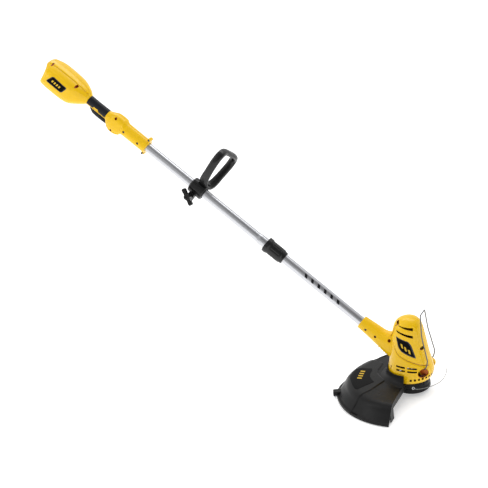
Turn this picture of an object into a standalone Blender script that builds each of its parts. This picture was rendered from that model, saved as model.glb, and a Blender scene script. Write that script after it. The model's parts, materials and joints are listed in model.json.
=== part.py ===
"""Cordless string trimmer with a two-piece shaft, built from named sub-parts.

Metres, +Z up, +X towards the cutting head, origin under the bump knob.
Shaft pieces are drawn in the shaft frame: X = up from the shaft,
Y = the user's left, Z = distance back along the shaft from the spool axis.
"""
import math

import bmesh
import bpy
from mathutils import Matrix, Vector

MM = 0.001

# ---- driving dimensions -------------------------------------------------
SHAFT_ANGLE = math.radians(40.77)
SHAFT_FOOT_Z = 87.9 * MM
TUBE_R = 14.0 * MM
TUBE_WALL = 1.2 * MM
GAP = 0.3 * MM
HALF_GAP = 0.15 * MM
SHELL_COLS = 12

LOWER_TUBE_START = 62 * MM
LOWER_TUBE_END = 560 * MM
UPPER_TUBE_START = 490 * MM
UPPER_TUBE_END = 1092 * MM
FLARE_IN_R = 14.4 * MM
FLARE_OUT_R = 15.7 * MM

COLLAR_FRONT = 472 * MM

LOOP_S = 805 * MM
LOOP_TURN = math.radians(24.0)
LOOP_LEG_OFFSET = 9.5 * MM
LOOP_LEG_SPREAD = 30.0
LOOP_FORWARD = 12 * MM
BOLT_S = 4 * MM
BOLT_DROP = -35 * MM
WING_TILT = math.radians(-26.0)

GRIP_RECESS = 0.872
REAR_END = 1405.0
BOW_START = 1325.0
BOW_DEPTH = 17 * MM
BOW_WIDTH = 47 * MM
LEVER_PIVOT_S = 1226 * MM
LEVER_PIVOT_H = -11.5 * MM

EYELET_TURN = math.radians(-69.5)
LINE_R = 0.9 * MM

BAIL_PIVOT = Vector((50.0, 0.0, 84.0)) * MM
BAIL_RECESS = (49.5, 76.0)
RECESS_R = 12.8 * MM
RECESS_RIM_R = 15.0 * MM
BAIL_WIRE_R = 1.7 * MM
NECK_SCREWS = ((0.0, 158), (3.5, 124))    # height and distance along the shaft, mm

GUARD_NEAR = math.radians(90.0)
GUARD_FAR = math.radians(-68.0)
GUARD_WALL = 2.6 * MM
GUARD_TAPER = math.radians(20.0)
COLLAR_TRIM = math.radians(0.05)
CUTTER_TURN = math.radians(22.0)

RING = 28
TUBE_RING = 32

# ---- frames -------------------------------------------------------------
UPWARD = Vector((math.sin(SHAFT_ANGLE), 0.0, math.cos(SHAFT_ANGLE)))
LEFTWARD = Vector((0.0, 1.0, 0.0))
REARWARD = Vector((-math.cos(SHAFT_ANGLE), 0.0, math.sin(SHAFT_ANGLE)))
FOOT = Vector((0.0, 0.0, SHAFT_FOOT_Z))
SHAFT = Matrix((
    (UPWARD.x, LEFTWARD.x, REARWARD.x, FOOT.x),
    (UPWARD.y, LEFTWARD.y, REARWARD.y, FOOT.y),
    (UPWARD.z, LEFTWARD.z, REARWARD.z, FOOT.z),
    (0.0, 0.0, 0.0, 1.0),
))
LOOP = SHAFT @ Matrix.Translation((0, 0, LOOP_S)) @ Matrix.Rotation(LOOP_TURN, 4, "Z")

for old in list(bpy.data.objects):
    bpy.data.objects.remove(old, do_unlink=True)

PARTS = bpy.data.collections.new("string_trimmer")
CUTTERS = bpy.data.collections.new("cutters")
bpy.context.scene.collection.children.link(PARTS)
bpy.context.scene.collection.children.link(CUTTERS)


# ---- materials ----------------------------------------------------------
def material(name, colour, roughness, metallic=0.0):
    mat = bpy.data.materials.new(name)
    mat.use_nodes = True
    shader = mat.node_tree.nodes["Principled BSDF"]
    shader.inputs["Base Color"].default_value = (*colour, 1.0)
    shader.inputs["Roughness"].default_value = roughness
    shader.inputs["Metallic"].default_value = metallic
    mat.diffuse_color = (*colour, 1.0)
    return mat


YELLOW = ((0.80, 0.50, 0.02), 0.30)
BLACK = ((0.022, 0.022, 0.022), 0.45)
RUBBER = ((0.020, 0.022, 0.027), 0.75)
ALUMINIUM = ((0.68, 0.69, 0.71), 0.30, 1.0)
STEEL = ((0.45, 0.46, 0.48), 0.28, 1.0)
DARK_STEEL = ((0.09, 0.10, 0.12), 0.40, 1.0)
COPPER = ((0.55, 0.25, 0.10), 0.40, 1.0)
BOARD = ((0.03, 0.16, 0.06), 0.50)
NYLON = ((0.78, 0.79, 0.76), 0.35)


# ---- mesh helpers -------------------------------------------------------
def tidy(mesh):
    """Merge doubled points and face every normal outwards."""
    bm = bmesh.new()
    bm.from_mesh(mesh)
    bmesh.ops.remove_doubles(bm, verts=bm.verts, dist=2e-6)
    bmesh.ops.dissolve_degenerate(bm, dist=2e-6, edges=bm.edges)
    bmesh.ops.recalc_face_normals(bm, faces=bm.faces)
    if bm.calc_volume(signed=True) < 0.0:
        bmesh.ops.reverse_faces(bm, faces=bm.faces)
    bm.to_mesh(mesh)
    bm.free()


def bake(obj):
    """Turn the modifiers or the curve of an object into plain mesh."""
    graph = bpy.context.evaluated_depsgraph_get()
    mesh = bpy.data.meshes.new_from_object(obj.evaluated_get(graph))
    if obj.type == "MESH":
        obj.modifiers.clear()
        obj.data = mesh
        tidy(mesh)
        return obj
    CUTTERS.objects.unlink(obj)
    made = bpy.data.objects.new(obj.name + "_mesh", mesh)
    CUTTERS.objects.link(made)
    tidy(mesh)
    return made


def body(mesh):
    obj = bpy.data.objects.new("body", mesh)
    CUTTERS.objects.link(obj)
    return obj


def lathe(profile, steps=RING, loop=True):
    """Revolve (radius, along) pairs about Z."""
    points = [(radius, 0.0, along) for radius, along in profile]
    edges = [(i, i + 1) for i in range(len(points) - 1)]
    if loop:
        edges.append((len(points) - 1, 0))
    mesh = bpy.data.meshes.new("profile")
    mesh.from_pydata(points, edges, [])
    obj = body(mesh)
    turn = obj.modifiers.new("turn", "SCREW")
    turn.axis = "Z"
    turn.steps = steps
    turn.render_steps = steps
    turn.use_merge_vertices = True
    turn.merge_threshold = 1e-5
    return bake(obj)


def block(low, high, bevel=0.0, matrix=None):
    """Axis-aligned box between two corners, edges eased by bevel."""
    low = Vector(low)
    high = Vector(high)
    bm = bmesh.new()
    bmesh.ops.create_cube(bm, size=1.0)
    size = high - low
    bmesh.ops.scale(bm, vec=size, verts=bm.verts)
    bmesh.ops.translate(bm, vec=(low + high) / 2, verts=bm.verts)
    mesh = bpy.data.meshes.new("block")
    bm.to_mesh(mesh)
    bm.free()
    obj = body(mesh)
    if bevel > 0.0:
        ease = obj.modifiers.new("ease", "BEVEL")
        ease.width = bevel
        ease.segments = 2
        ease.limit_method = "ANGLE"
        bake(obj)
    if matrix is not None:
        obj.data.transform(matrix)
    return obj


def rod(start, end, radius, steps=24, radius_end=None):
    """Solid cylinder or cone between two points."""
    start = Vector(start)
    end = Vector(end)
    span = end - start
    bm = bmesh.new()
    last = radius if radius_end is None else radius_end
    bmesh.ops.create_cone(bm, cap_ends=True, segments=steps, radius1=radius,
                          radius2=last, depth=span.length)
    turn = Vector((0, 0, 1)).rotation_difference(span.normalized())
    bm.transform(Matrix.Translation((start + end) / 2) @ turn.to_matrix().to_4x4())
    mesh = bpy.data.meshes.new("rod")
    bm.to_mesh(mesh)
    bm.free()
    return body(mesh)


def wire(points, radius, resolution=3, closed=False):
    """Round wire through points, bent by the curve bevel."""
    curve = bpy.data.curves.new("wire", "CURVE")
    curve.dimensions = "3D"
    curve.bevel_depth = radius
    curve.bevel_resolution = resolution
    curve.use_fill_caps = not closed
    spline = curve.splines.new("POLY")
    spline.points.add(len(points) - 1)
    for slot, point in zip(spline.points, points):
        slot.co = (*point, 1.0)
    spline.use_cyclic_u = closed
    obj = bpy.data.objects.new("wire", curve)
    CUTTERS.objects.link(obj)
    return bake(obj)


def coil(radius, wire_radius, low, high, turns, per_turn=9):
    points = []
    count = int(turns * per_turn)
    for i in range(count + 1):
        angle = 2 * math.pi * i / per_turn
        height = low + (high - low) * i / count
        points.append((radius * math.cos(angle), radius * math.sin(angle), height))
    return wire(points, wire_radius, resolution=2)


def from_rings(rings, cap=True, wrap=True):
    """Skin over rings of equal length."""
    count = len(rings[0])
    points = [point for ring in rings for point in ring]
    faces = []
    for i in range(len(rings) - 1):
        for j in range(count if wrap else count - 1):
            k = (j + 1) % count
            faces.append((i * count + j, i * count + k,
                          (i + 1) * count + k, (i + 1) * count + j))
    if cap:
        last = (len(rings) - 1) * count
        faces.append(tuple(range(count)))
        faces.append(tuple(last + j for j in range(count)))
    mesh = bpy.data.meshes.new("skin")
    mesh.from_pydata(points, [], faces)
    tidy(mesh)
    return body(mesh)


def slab(outer, inner):
    """Closed shell between two open grids of the same size."""
    rows = len(outer)
    cols = len(outer[0])
    rings = []
    for i in range(rows):
        rings.append(list(outer[i]) + list(reversed(inner[i])))
    skin = from_rings(rings, cap=False)
    mesh = skin.data
    bm = bmesh.new()
    bm.from_mesh(mesh)
    bm.verts.ensure_lookup_table()
    total = 2 * cols
    for i in (0, rows - 1):
        for j in range(cols - 1):
            a = rings[i][j]
            b = rings[i][j + 1]
            c = rings[i][total - 2 - j]
            d = rings[i][total - 1 - j]
            verts = [bm.verts.new(p) for p in (a, b, c, d)]
            bm.faces.new(verts)
    bm.to_mesh(mesh)
    bm.free()
    tidy(mesh)
    return skin


def smooth_path(keys, per=6, closed=False):
    """Catmull-Rom points through the keys."""
    keys = [Vector(key) for key in keys]
    count = len(keys)
    spans = count if closed else count - 1
    out = []
    for i in range(spans):
        if closed:
            p = [keys[(i + k) % count] for k in (-1, 0, 1, 2)]
        else:
            p = [keys[max(0, min(count - 1, i + k))] for k in (-1, 0, 1, 2)]
        for step in range(per):
            t = step / per
            out.append(0.5 * (2 * p[1] + (p[2] - p[0]) * t
                              + (2 * p[0] - 5 * p[1] + 4 * p[2] - p[3]) * t * t
                              + (3 * p[1] - p[0] - 3 * p[2] + p[3]) * t ** 3))
    if not closed:
        out.append(keys[-1])
    return out


def signed_power(value, power):
    return math.copysign(abs(value) ** power, value)


def boolean(obj, other, operation):
    mod = obj.modifiers.new(operation.lower(), "BOOLEAN")
    mod.operation = operation
    mod.solver = "EXACT"
    mod.object = other
    bake(obj)
    bpy.data.objects.remove(other, do_unlink=True)
    return obj


def cut(obj, *others):
    for other in others:
        boolean(obj, other, "DIFFERENCE")
    return obj


def join(obj, *others):
    for other in others:
        boolean(obj, other, "UNION")
    return obj


def put(obj, name, look, matrix=None, origin=None):
    """Name a finished piece, dress it and set its origin."""
    if matrix is not None:
        obj.data.transform(matrix)
    tidy(obj.data)
    spot = Vector((0, 0, 0)) if origin is None else Vector(origin)
    obj.data.transform(Matrix.Translation(-spot))
    obj.location = spot
    obj.name = name
    obj.data.name = name
    obj.data.materials.clear()
    obj.data.materials.append(material("mat_" + name, *look))
    obj.data.shade_smooth()
    obj.data.set_sharp_from_angle(angle=math.radians(32))
    CUTTERS.objects.unlink(obj)
    PARTS.objects.link(obj)
    return obj


def mm(*values):
    return tuple(value * MM for value in values)


def ring_profile(pairs):
    """(radius, along) pairs in millimetres."""
    return [mm(*pair) for pair in pairs]


# ---- shaft --------------------------------------------------------------
def upper_tube():
    wall_in = TUBE_R - TUBE_WALL
    profile = [
        (FLARE_IN_R, UPPER_TUBE_START), (FLARE_OUT_R, UPPER_TUBE_START),
        (FLARE_OUT_R, 564 * MM), (TUBE_R, 573 * MM), (TUBE_R, UPPER_TUBE_END),
        (wall_in, UPPER_TUBE_END), (wall_in, 574 * MM), (FLARE_IN_R, 563 * MM),
    ]
    put(lathe(profile, TUBE_RING), "upper_tube", ALUMINIUM, SHAFT)


def lower_tube():
    profile = [
        (TUBE_R, LOWER_TUBE_START), (TUBE_R, LOWER_TUBE_END),
        (TUBE_R - TUBE_WALL, LOWER_TUBE_END), (TUBE_R - TUBE_WALL, LOWER_TUBE_START),
    ]
    put(lathe(profile, TUBE_RING), "lower_tube", ALUMINIUM, SHAFT, SHAFT @ Vector((0, 0, COLLAR_FRONT)))


def cables():
    upper = wire([mm(0, 2, 1148), mm(0, 1, 1100), mm(0, 0, 1040), mm(0, 0, 612)], 2.4 * MM)
    put(upper, "upper_cable", BLACK, SHAFT)
    lower = wire([mm(0, 0, 552), mm(0, 0, 300), mm(0, 0, 72)], 2.4 * MM)
    put(lower, "lower_cable", BLACK, SHAFT)


def lock_collar():
    profile = ring_profile([
        (14.5, 472), (18.4, 472), (19.6, 480), (21.3, 484), (21.3, 525),
        (23.7, 530), (23.7, 540), (22.8, 542), (16.3, 542),
        (16.3, 539.5), (18.3, 539.5), (18.3, 488), (14.5, 488),
    ])
    collar = lathe(profile, TUBE_RING)
    for i in range(8):
        turn = Matrix.Rotation(math.radians(22.5 + 45 * i), 4, "Z")
        flute = rod(mm(24.4, 0, 487), mm(24.4, 0, 522), 4.6 * MM, 12)
        flute.data.transform(turn)
        cut(collar, flute)
    put(collar, "lock_collar", BLACK, SHAFT, SHAFT @ Vector((0, 0, COLLAR_FRONT)))


def collet_and_bush():
    collet = lathe(ring_profile([(16.0, 506), (17.95, 508), (17.95, 537), (16.0, 538.5)]), RING)
    cut(collet, block(mm(10, -1.0, 500), mm(24, 1.0, 545)))
    put(collet, "clamp_collet", BLACK, SHAFT)
    bush = lathe(ring_profile([(14.3, 488.3), (17.6, 488.3), (17.6, 505.5), (16.1, 505.5),
                               (16.1, 489.7), (14.3, 489.7)]), RING)
    put(bush, "guide_bush", BLACK, SHAFT, SHAFT @ Vector((0, 0, COLLAR_FRONT)))


# ---- front loop handle --------------------------------------------------
def loop_keys():
    """Right half then left half of the loop, (sideways, out) in mm."""
    half = [(0, 20.5), (13, 24), (26, 38), (40, 62), (51, 88), (56, 108), (50, 128), (27, 138.5)]
    keys = list(half)
    keys.append((0, 140))
    keys.extend((-u, w) for u, w in reversed(half[1:]))
    return keys


def loop_point(u, w):
    """Loop outline (mm) to the clamp frame: the right leg sits further back."""
    turn = max(-1.0, min(1.0, u / LOOP_LEG_SPREAD)) * math.pi / 2
    along = LOOP_LEG_OFFSET * math.sin(turn) - LOOP_FORWARD
    return Vector((w * MM, -u * MM, along))


def loop_sweep(in_plane, axial, power=3.0, per=3, count=10):
    path = smooth_path([loop_point(u, w) for u, w in loop_keys()], per, closed=True)
    flat = smooth_path([(u, w, 0) for u, w in loop_keys()], per, closed=True)
    axis = Vector((0, 0, 1))
    rings = []
    total = len(path)
    for i in range(total):
        tangent = (path[(i + 1) % total] - path[i - 1]).normalized()
        out = tangent.cross(axis).normalized()
        side = out.cross(tangent).normalized()
        low = min(1.0, max(0.0, (flat[i].y - 22.0) / 40.0))
        thick = in_plane * (0.86 + 0.14 * low)
        deep = axial * (1.18 - 0.18 * low)
        ring = []
        for j in range(count):
            angle = 2 * math.pi * j / count
            a = signed_power(math.cos(angle), 2 / power) * thick / 2
            b = signed_power(math.sin(angle), 2 / power) * deep / 2
            ring.append(path[i] + out * a + side * b)
        rings.append(ring)
    rings.append(rings[0])
    return from_rings(rings, cap=False)


def loop_handle():
    handle = loop_sweep(15 * MM, 24.5 * MM)
    saddle = lathe(ring_profile([(17.0, -24), (22.6, -24), (24.0, -22), (24.0, 22),
                                 (22.6, 24), (17.0, 24)]), TUBE_RING)
    ear_near = block(mm(-44, -12, -6), mm(-18, -3, 14), 2 * MM)
    ear_far = block(mm(-44, 3, -6), mm(-18, 12, 14), 2 * MM)
    join(handle, saddle, ear_near, ear_far)
    cut(handle, rod(mm(0, 0, -30), mm(0, 0, 30), 17.0 * MM, TUBE_RING))
    cut(handle, block(mm(-60, -2.6, -40), mm(-10, 2.6, 40)))
    cut(handle, rod((BOLT_DROP, -30 * MM, BOLT_S), (BOLT_DROP, 30 * MM, BOLT_S), 3.3 * MM, 20))
    put(handle, "loop_handle", BLACK, LOOP, LOOP @ Vector((0, 0, 0)))
    liner = lathe(ring_profile([(14.3, -25.5), (16.7, -25.5), (16.7, 25.5), (14.3, 25.5)]), RING)
    cut(liner, block(mm(-30, -1.5, -30), mm(-10, 1.5, 30)))
    put(liner, "clamp_liner", RUBBER, LOOP, LOOP @ Vector((0, 0, 0)))


def clamp_fastener():
    start = (BOLT_DROP, 12.4 * MM, BOLT_S)
    bolt = rod((BOLT_DROP, 17.5 * MM, BOLT_S), start, 6.2 * MM, 6)
    shank = rod((BOLT_DROP, 13 * MM, BOLT_S), (BOLT_DROP, -33 * MM, BOLT_S), 3.0 * MM, 20)
    put(join(bolt, shank), "clamp_bolt", STEEL, LOOP)
    turn = Matrix.Translation((BOLT_DROP, 0, BOLT_S)) @ Matrix.Rotation(math.radians(90), 4, "X")
    hub = lathe(ring_profile([(3.3, 12.5), (7.0, 12.5), (7.6, 14), (7.6, 28), (8.4, 30), (8.4, 42),
                              (7.4, 43.5), (0.0, 43.5), (0.0, 37.0), (3.3, 35.0)]), 20, loop=True)
    wing = block(mm(-6.0, -27, 31), mm(6.0, 27, 40.5), 2.2 * MM)
    wing.data.transform(Matrix.Rotation(WING_TILT, 4, "Z"))
    bore = rod(mm(0, 0, 10), mm(0, 0, 36), 3.3 * MM, 20)
    join(hub, wing)
    cut(hub, bore)
    hub.data.transform(turn)
    put(hub, "wing_knob", BLACK, LOOP, LOOP @ Vector((BOLT_DROP, 0, BOLT_S)))


# ---- rear housing -------------------------------------------------------
def rear_sections():
    """(s, half width, top, bottom, top roundness, bottom roundness), mm."""
    return [
        (1005, 21.0, 21.0, -21.0, 2.0, 2.0), (1092, 20.8, 21.0, -21.0, 2.1, 2.1),
        (1098, 20.8, 24.0, -22.5, 2.4, 2.4), (1104, 21.0, 27.0, -30.0, 2.9, 2.6),
        (1120, 21.2, 27.6, -37.5, 3.0, 2.6), (1134, 20.8, 26.6, -38.8, 2.9, 2.5),
        (1146, 19.0, 22.0, -35.5, 2.6, 2.4), (1155, 17.0, 17.6, -27.0, 2.3, 2.3),
        (1161, 15.9, 16.0, -18.0, 2.1, 2.1), (1163.2, 15.6, 15.6, -15.8, 2.0, 2.0),
        (1164, 15.6, 15.6, -15.6, 2.0, 2.0), (1237, 15.6, 15.6, -15.6, 2.0, 2.0),
        (1237.8, 15.6, 15.6, -15.6, 2.0, 2.0), (1240, 16.4, 16.6, -16.8, 2.0, 2.0),
        (1246, 21.5, 22.5, -22.0, 2.0, 2.1), (1256, 29.0, 27.0, -29.0, 2.1, 2.3),
        (1270, 37.0, 30.5, -38.0, 2.3, 2.6), (1284, 42.5, 32.8, -45.0, 2.5, 3.0),
        (1300, 45.6, 34.4, -48.5, 2.6, 3.3), (1325, 47.2, 35.2, -49.5, 2.6, 3.4),
        (1365, 47.8, 34.6, -49.0, 2.6, 3.4), (1392, 47.0, 31.5, -48.0, 2.6, 3.3),
        (1405, 45.0, 28.0, -46.0, 2.6, 3.2),
    ]


def half_grid(sections, side, inset, cols, recess=None):
    rows = []
    for s, wide, top, bottom, crown, keel in sections:
        row = []
        for j in range(cols + 1):
            angle = math.radians(-90 + 180 * j / cols)
            power = crown if angle > 0 else keel
            reach_y = wide * MM - inset(s)
            reach_up = top * MM - inset(s)
            reach_down = bottom * MM + inset(s)
            y = abs(math.cos(angle)) ** (2 / power) * reach_y
            lift = abs(math.sin(angle)) ** (2 / power)
            x = lift * (reach_up if angle > 0 else -abs(reach_down))
            if recess is not None:
                scale = recess(s, math.degrees(angle))
                x *= scale
                y *= scale
            if j in (0, cols):
                y = 0.0
            row.append(Vector((x, side * (y + HALF_GAP), s * MM - rear_bow(s, y))))
        rows.append(row)
    return rows


def rear_bow(s, y):
    """Forward pull of the battery end's sides, which rounds it in plan."""
    share = max(0.0, min(1.0, (s - BOW_START) / (REAR_END - BOW_START)))
    return BOW_DEPTH * share * share * (y / BOW_WIDTH) ** 2


def rear_inset(s):
    """Wall depth: thick round the tube, thin round the battery."""
    if s <= 1092:
        return 6.0 * MM
    if s <= 1098:
        return 4.0 * MM
    if 1161 <= s <= 1240:
        return 3.4 * MM
    return 2.6 * MM


def grip_recess(s, angle):
    inside = 1163 < s < 1238 and angle > -34
    return GRIP_RECESS if inside else 1.0


def rear_housing(side, name):
    sections = rear_sections()
    outer = half_grid(sections, side, lambda s: 0.0, SHELL_COLS, grip_recess)
    inner = half_grid(sections, side, rear_inset, SHELL_COLS)
    shell = slab(outer, inner)
    for h in (26.0, -26.0):
        outward = 8.5 * side
        lug = rod(mm(h, 0.15 * side, 1010), mm(h, outward, 1010), 5.6 * MM, 20)
        web = block(mm(min(h * 0.7, h), min(0.15 * side, outward), 1005.5),
                    mm(max(h * 0.7, h), max(0.15 * side, outward), 1014.5))
        join(shell, web, lug)
        cut(shell, rod(mm(h, -12, 1010), mm(h, 12, 1010), 1.8 * MM, 14))
        cut(shell, rod(mm(h, 6.6 * side, 1010), mm(h, 12 * side, 1010), 3.5 * MM, 16))
    cut(shell, rod(mm(0, 0, 1000), mm(0, 0, 1093), TUBE_R + GAP, TUBE_RING))
    cut(shell, block(mm(-40, -5.4, 1128), mm(-9, 5.4, 1233)))
    cut(shell, rod(mm(-11.5, -8.9, 1226), mm(-11.5, 8.9, 1226), 1.8 * MM, 14))
    cut(shell, block(mm(-60, -16.4, 1303), mm(-38, 16.4, 1369)))
    if side < 0:
        for s in (1033, 1088):
            cut(shell, rod(mm(0, -30, s), mm(0, -17.6, s), 3.6 * MM, 16))
            cut(shell, rod(mm(0, -30, s), mm(0, -15.4, s), 1.5 * MM, 14))
    else:
        cut(shell, rod(mm(6, 12, 1122), mm(6, 30, 1122), 6.4 * MM, 24))
    put(shell, name, YELLOW, SHAFT)


def grip_cover(side, name):
    rows_out = []
    rows_in = []
    for s in (1163.6, 1182, 1200, 1218, 1237.4):
        bulge = 15.7 - 0.4 * math.sin(math.pi * (s - 1163) / 75)
        out = []
        inn = []
        for j in range(13):
            angle = math.radians(-28 + 118 * j / 12)
            for radius, row in ((bulge, out), (13.9, inn)):
                y = radius * math.cos(angle) if j < 12 else 0.0
                row.append(Vector((radius * math.sin(angle) * MM, side * (y * MM + HALF_GAP), s * MM)))
        rows_out.append(out)
        rows_in.append(inn)
    put(slab(rows_out, rows_in), name, RUBBER, SHAFT)


def rear_screws():
    for number, s in ((1, 1033), (2, 1088)):
        screw = rod(mm(0, -20.0, s), mm(0, -17.9, s), 3.2 * MM, 20)
        join(screw, rod(mm(0, -18.5, s), mm(0, -15.7, s), 1.3 * MM, 12))
        put(screw, "socket_screw_%d" % number, DARK_STEEL, SHAFT)
    for number, h in ((1, 26.0), (2, -26.0)):
        screw = rod(mm(h, -8.4, 1010), mm(h, -6.9, 1010), 3.2 * MM, 20)
        join(screw, rod(mm(h, -7.5, 1010), mm(h, 6.0, 1010), 1.5 * MM, 12))
        put(screw, "lug_screw_%d" % number, DARK_STEEL, SHAFT)


def rear_insides():
    dock = block(mm(-30, -26, 1304), mm(16, 26, 1322), 2 * MM)
    join(dock, block(mm(-17, -14, 1320), mm(-1, 14, 1334), 1 * MM))
    put(dock, "battery_dock", BLACK, SHAFT)
    board = block(mm(-0.8, -15, 1256), mm(0.8, 15, 1298))
    put(board, "control_board", BOARD, SHAFT)
    switch = block(mm(-6.5, -5, 1172), mm(5.5, 5, 1204), 0.8 * MM)
    put(switch, "trigger_switch", BLACK, SHAFT)


def trigger():
    keys = [(1232, -8.0, -14.0), (1226, -7.6, -18.4), (1219, -9.8, -23.6), (1211, -13.4, -28.6),
            (1190, -16.6, -30.2), (1172, -17.6, -29.8), (1158, -18.4, -29.0), (1146, -19.2, -27.4),
            (1138, -19.6, -25.6)]
    rings = []
    for s, top, bottom in keys:
        rings.append([mm(top, -5, s), mm(top, 5, s), mm(bottom + 1.4, 5, s), mm(bottom, 3.4, s),
                      mm(bottom, -3.4, s), mm(bottom + 1.4, -5, s)])
    lever = from_rings(rings)
    pivot = SHAFT @ Vector((LEVER_PIVOT_H, 0, LEVER_PIVOT_S))
    cut(lever, rod(mm(-11.5, -9, 1226), mm(-11.5, 9, 1226), 1.75 * MM, 16))
    put(lever, "trigger_lever", BLACK, SHAFT, pivot)
    pin = rod(mm(-11.5, -8.4, 1226), mm(-11.5, 8.4, 1226), 1.4 * MM, 16)
    put(pin, "trigger_pin", STEEL, SHAFT, pivot)
    spring = coil(2.2 * MM, 0.35 * MM, 0.0, 7.6 * MM, 2.5)
    spring.data.transform(Matrix.Translation(mm(-15.2, 0, 1186)) @ Matrix.Rotation(math.radians(90), 4, "Y"))
    put(spring, "trigger_spring", STEEL, SHAFT)
    button = rod(mm(6, 14.5, 1122), mm(6, 23.0, 1122), 6.0 * MM, 28)
    rim = rod(mm(6, 13.6, 1122), mm(6, 15.6, 1122), 7.2 * MM, 28)
    put(join(button, rim), "lock_off_button", BLACK, SHAFT, SHAFT @ Vector(mm(6, 18, 1122)))


def battery():
    case = block(mm(-38, -33.6, 1338), mm(19, 33.6, 1395.6), 5 * MM)
    cut(case, block(mm(-18, -15, 1330), mm(0, 15, 1340)))
    put(case, "battery_case", BLACK, SHAFT, SHAFT @ Vector(mm(0, 0, 1403)))
    latch = block(mm(-51.0, -16, 1303.4), mm(-42.0, 16, 1368.6), 2 * MM)
    put(latch, "battery_latch", YELLOW, SHAFT, SHAFT @ Vector(mm(-47, 0, 1336)))


# ---- cutting head -------------------------------------------------------
def head_slices(inset):
    """(z, centre x, reach x, reach y) of the head, mm."""
    rows = [
        (46, 0, 58, 58), (52, 0, 61.5, 61), (58, 0, 64, 63), (68, 0.5, 66, 63.5),
        (80, 0.5, 65.5, 62), (94, 0.5, 62.5, 58.5), (112, 0.5, 58.5, 54.5), (135, 1, 54.5, 50.5),
        (160, 1.5, 50.5, 47.5), (184, 2, 46.5, 44.5), (204, 3, 42, 41), (216, 3.5, 37, 37),
        (225, 4, 29, 29), (230, 4.5, 19, 20), (232.6, 4.5, 8, 9),
    ]
    out = []
    for z, centre, reach_x, reach_y in rows:
        if z > 226 and inset > 0:
            continue
        out.append((z, centre, reach_x - inset, reach_y - inset))
    if inset > 0:
        first = out[0]
        out.insert(0, (40, first[1], first[2], first[3]))
    return out


def head_loft(inset, count=28):
    rings = []
    for z, centre, reach_x, reach_y in head_slices(inset):
        ring = []
        for j in range(count):
            angle = 2 * math.pi * (j + 0.5) / count
            ring.append(mm(centre + reach_x * math.cos(angle), reach_y * math.sin(angle), z))
        rings.append(ring)
    return from_rings(rings)


def neck_loft(count=28):
    rows = [(30, 30, 48, -28), (60, 29, 49, -27), (80, 27.5, 47, -26), (94, 26, 39, -25),
            (106, 25, 31, -24.4), (118, 24, 27.4, -23.6), (134, 22.6, 26, -22.4),
            (158, 21, 23.2, -21), (182, 19.8, 20.2, -20)]
    rings = []
    for s, wide, top, bottom in rows:
        ring = []
        for j in range(count):
            angle = 2 * math.pi * (j + 0.5) / count
            lift = math.sin(angle)
            high = lift * (top if lift > 0 else -bottom)
            ring.append(SHAFT @ Vector(mm(high, wide * math.cos(angle), s)))
        rings.append(ring)
    return from_rings(rings)


def head_housing(side, name):
    shell = head_loft(0.0)
    join(shell, neck_loft())
    x, z = BAIL_RECESS
    y_in, y_out = 24 * side, 32.8 * side
    join(shell, rod(mm(x, y_in, z), mm(x, y_out, z), RECESS_RIM_R, 20))
    cavity = head_loft(2.6)
    cut(cavity, rod(mm(x, y_in, z), mm(x, 70 * side, z), RECESS_RIM_R, 20))
    cut(shell, cavity)
    cut(shell, rod(mm(x, 27 * side, z), mm(x, 80 * side, z), RECESS_R, 20))
    hole = BAIL_PIVOT / MM
    cut(shell, rod(mm(hole.x, 20 * side, hole.z), mm(hole.x, 40 * side, hole.z), 2.1 * MM, 14))
    bore = rod(SHAFT @ Vector(mm(0, 0, 40)), SHAFT @ Vector(mm(0, 0, 200)), TUBE_R + GAP, TUBE_RING)
    cut(shell, bore)
    low = min(0.15 * side, 100 * side)
    high = max(0.15 * side, 100 * side)
    keep = block(mm(-220, low, 30), mm(120, high, 260))
    boolean(shell, keep, "INTERSECT")
    if side < 0:
        for h, s in NECK_SCREWS:
            cut(shell, rod(SHAFT @ Vector(mm(h, -30, s)), SHAFT @ Vector(mm(h, -18.0, s)), 3.6 * MM, 16))
            cut(shell, rod(SHAFT @ Vector(mm(h, -30, s)), SHAFT @ Vector(mm(h, -15.4, s)), 1.5 * MM, 14))
    put(shell, name, YELLOW)


def head_screws():
    for number, (h, s) in enumerate(NECK_SCREWS, 1):
        screw = rod(mm(h, -20.8, s), mm(h, -18.3, s), 3.2 * MM, 20)
        join(screw, rod(mm(h, -18.8, s), mm(h, -15.7, s), 1.3 * MM, 12))
        put(screw, "neck_screw_%d" % number, DARK_STEEL, SHAFT)


def motor():
    can = lathe(ring_profile([(0, 112), (26, 112), (27, 113), (27, 168), (26, 169), (0, 169)]), RING, False)
    cut(can, rod(mm(0, 0, 108), mm(0, 0, 164), 2.8 * MM, 20))
    put(can, "motor_can", STEEL)
    cap = lathe(ring_profile([(0, 169.4), (24, 169.4), (24, 174), (9, 176), (9, 181), (0, 181)]), RING, False)
    put(cap, "motor_end_cap", BLACK)
    mount = lathe(ring_profile([(9, 107.4), (39, 107.4), (39, 111.6), (9, 111.6)]), RING)
    put(mount, "motor_mount", BLACK)
    shaft = lathe(ring_profile([(0, 22), (2.5, 22), (2.5, 162), (0, 162)]), 20, False)
    put(shaft, "motor_shaft", STEEL)
    fan = lathe(ring_profile([(2.9, 88), (36, 88), (36, 90), (8, 90), (8, 102), (2.9, 102)]), RING)
    for i in range(8):
        blade = block(mm(7, -0.9, 89), mm(34, 0.9, 99))
        blade.data.transform(Matrix.Rotation(math.radians(45 * i + 11), 4, "Z"))
        join(fan, blade)
    put(fan, "cooling_fan", BLACK)


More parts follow.
